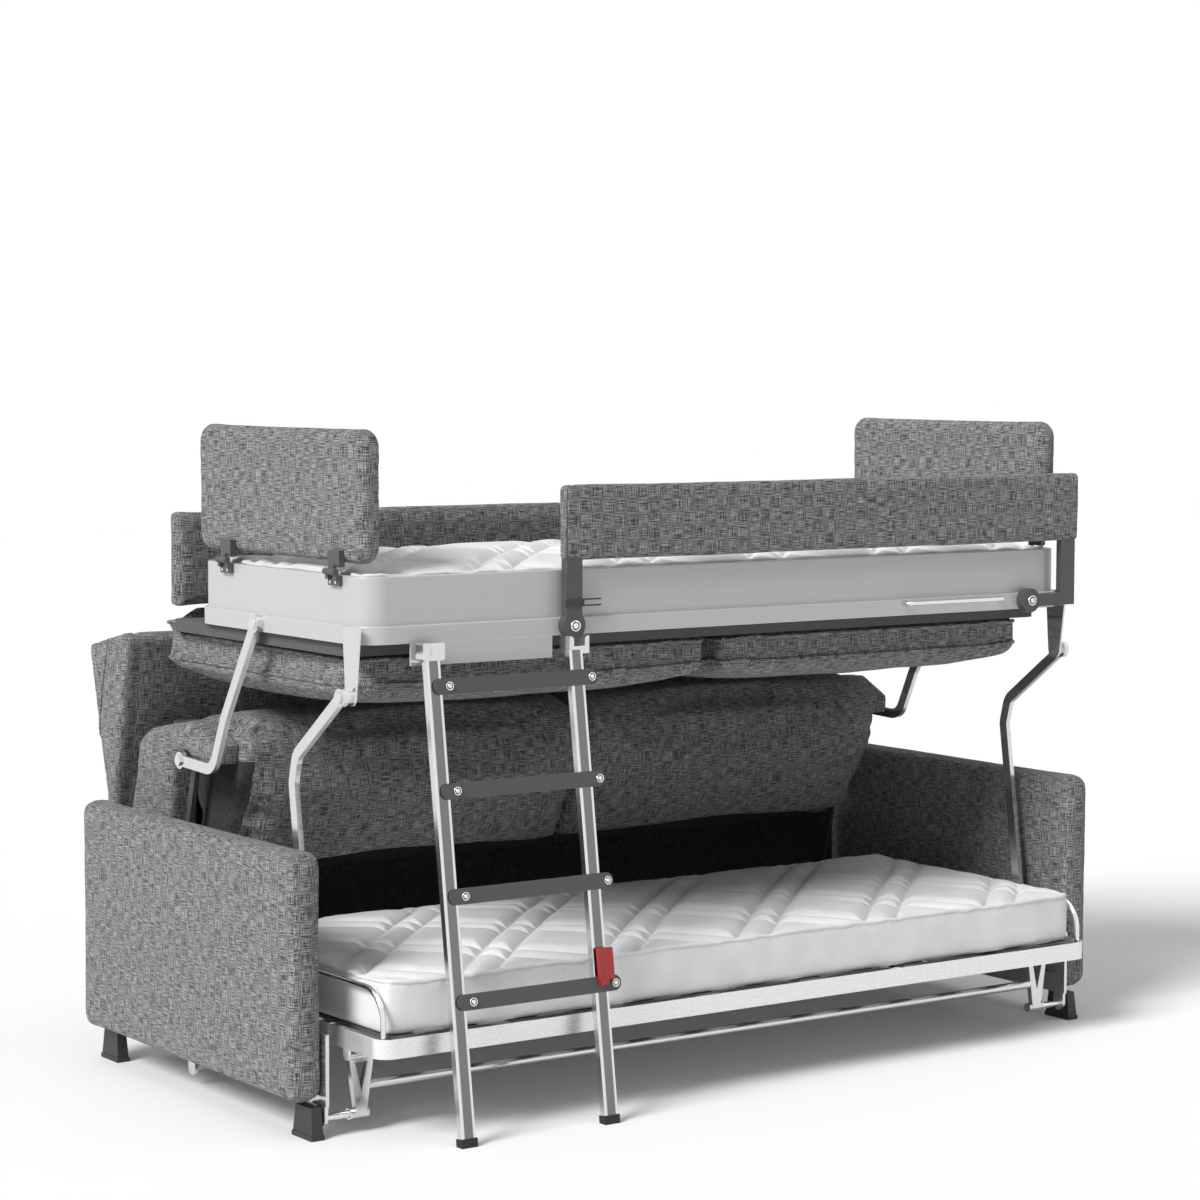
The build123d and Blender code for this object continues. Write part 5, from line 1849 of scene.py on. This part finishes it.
@dataclass
class Studio:
    """The plain pale floor, the soft lamps and the camera at the photo's angle."""

    eye: Direction = (-4172, -5417, 1571)
    yaw: float = 35.18
    pitch: float = -4.306
    roll: float = 0.003
    lens_share: float = 3123.84 / 1200
    sensor: float = 36.0
    far_clip: float = 100.0
    white: Colour = (1.0, 1.0, 1.0)
    floor_size: float = 40.0
    floor_colour: Colour = (0.9, 0.9, 0.9)
    floor_roughness: float = 0.85
    floor_specular: float = 0.15
    floor_lift: float = 0.05
    ambient: float = 0.22
    suns: tuple[tuple[str, Direction, float, float], ...] = (
        ("key_sun", (-1.0, -0.25, 0.82), 1.02, 24.0),
        ("top_sun", (0.1, 0.0, 1.0), 0.2, 60.0),
    )

    def camera(self) -> None:
        """The camera at the photo's place."""
        data = bpy.data.cameras.new("photo_camera")
        data.sensor_width = self.sensor
        data.lens = self.lens_share * self.sensor
        data.clip_end = self.far_clip
        piece = link("photo_camera", data)
        yaw, pitch = math.radians(self.yaw), math.radians(self.pitch)
        gaze = Vector((math.sin(yaw) * math.cos(pitch), math.cos(yaw) * math.cos(pitch), math.sin(pitch)))
        turn = gaze.to_track_quat("-Z", "Y") @ Quaternion((0, 0, 1), self.roll)
        piece.rotation_mode = "QUATERNION"
        piece.rotation_quaternion = turn
        piece.location = placing.spot(*self.eye)
        bpy.context.scene.camera = piece

    def sun(self, name: str, toward: Direction, level: float, spread: float) -> None:
        """A soft distant lamp.

        Args:
            name: The lamp's name.
            toward: The direction it stands in.
            level: The share of full brightness it gives a surface that faces it.
            spread: Its angle in degrees, wide for soft shadows.
        """
        data = bpy.data.lights.new(name, "SUN")
        data.energy = level * math.pi
        data.angle = math.radians(spread)
        piece = link(name, data)
        piece.rotation_euler = (-Vector(toward)).to_track_quat("-Z", "Y").to_euler()

    def seen_directly(self, bench: Bench) -> Socket:
        """Tells the rays that show the background from the others.

        Args:
            bench: The bench of the world or material.

        Returns:
            A socket that is 1 on camera, glossy and transmission rays.
        """
        path = bench.node("ShaderNodeLightPath").outputs
        shown = bench.sum("MAXIMUM", path["Is Camera Ray"], path["Is Glossy Ray"])
        return bench.sum("MAXIMUM", shown, path["Is Transmission Ray"])

    def world(self) -> None:
        """A white surround that lights the sofa softly."""
        world = bpy.data.worlds.new("studio")
        world.use_nodes = True
        bench = Bench(world.node_tree)
        background = world.node_tree.nodes["Background"]
        background.inputs["Color"].default_value = solid(self.white)
        shown = self.seen_directly(bench)
        rest = bench.sum("SUBTRACT", 1.0, shown)
        strength = bench.sum("ADD", shown, bench.sum("MULTIPLY", rest, self.ambient))
        bench.feed(background.inputs["Strength"], strength)
        bpy.context.scene.world = world

    def floor(self) -> None:
        """A plain floor, which keeps the sofa's shadow."""
        mesh = bmesh.new()
        bmesh.ops.create_grid(mesh, x_segments=1, y_segments=1, size=self.floor_size / 2)
        piece = piece_from("floor", mesh)
        material, bench, shader = new_material("floor")
        shader.inputs["Base Color"].default_value = solid(self.floor_colour)
        shader.inputs["Roughness"].default_value = self.floor_roughness
        shader.inputs["Specular IOR Level"].default_value = self.floor_specular
        shader.inputs["Emission Color"].default_value = solid(self.white)
        camera_ray = bench.node("ShaderNodeLightPath").outputs["Is Camera Ray"]
        bench.feed(shader.inputs["Emission Strength"], bench.sum("MULTIPLY", camera_ray, self.floor_lift))
        piece.data.materials.append(material)

    def build(self) -> None:
        """Sets the studio up."""
        self.camera()
        self.world()
        self.floor()
        for name, toward, level, spread in self.suns:
            self.sun(name, toward, level, spread)
        bpy.context.scene.view_settings.view_transform = "Standard"
        log.info("studio set")


def main() -> None:
    """Builds the studio, dresses the frame and sews every soft piece."""
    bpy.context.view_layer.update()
    Studio().build()
    finishes.dress_frame()
    assemblies = [Base(), Backrest(), Bunk(), HeadPanels(), LowerBed()]
    pads = [pad for assembly in assemblies for pad in assembly.cut()]
    loft.swell(pads)
    for assembly in [*assemblies, Ladder()]:
        assembly.dress()
        log.info("finished %s", type(assembly).__name__)


if __name__ == "__main__":
    main()
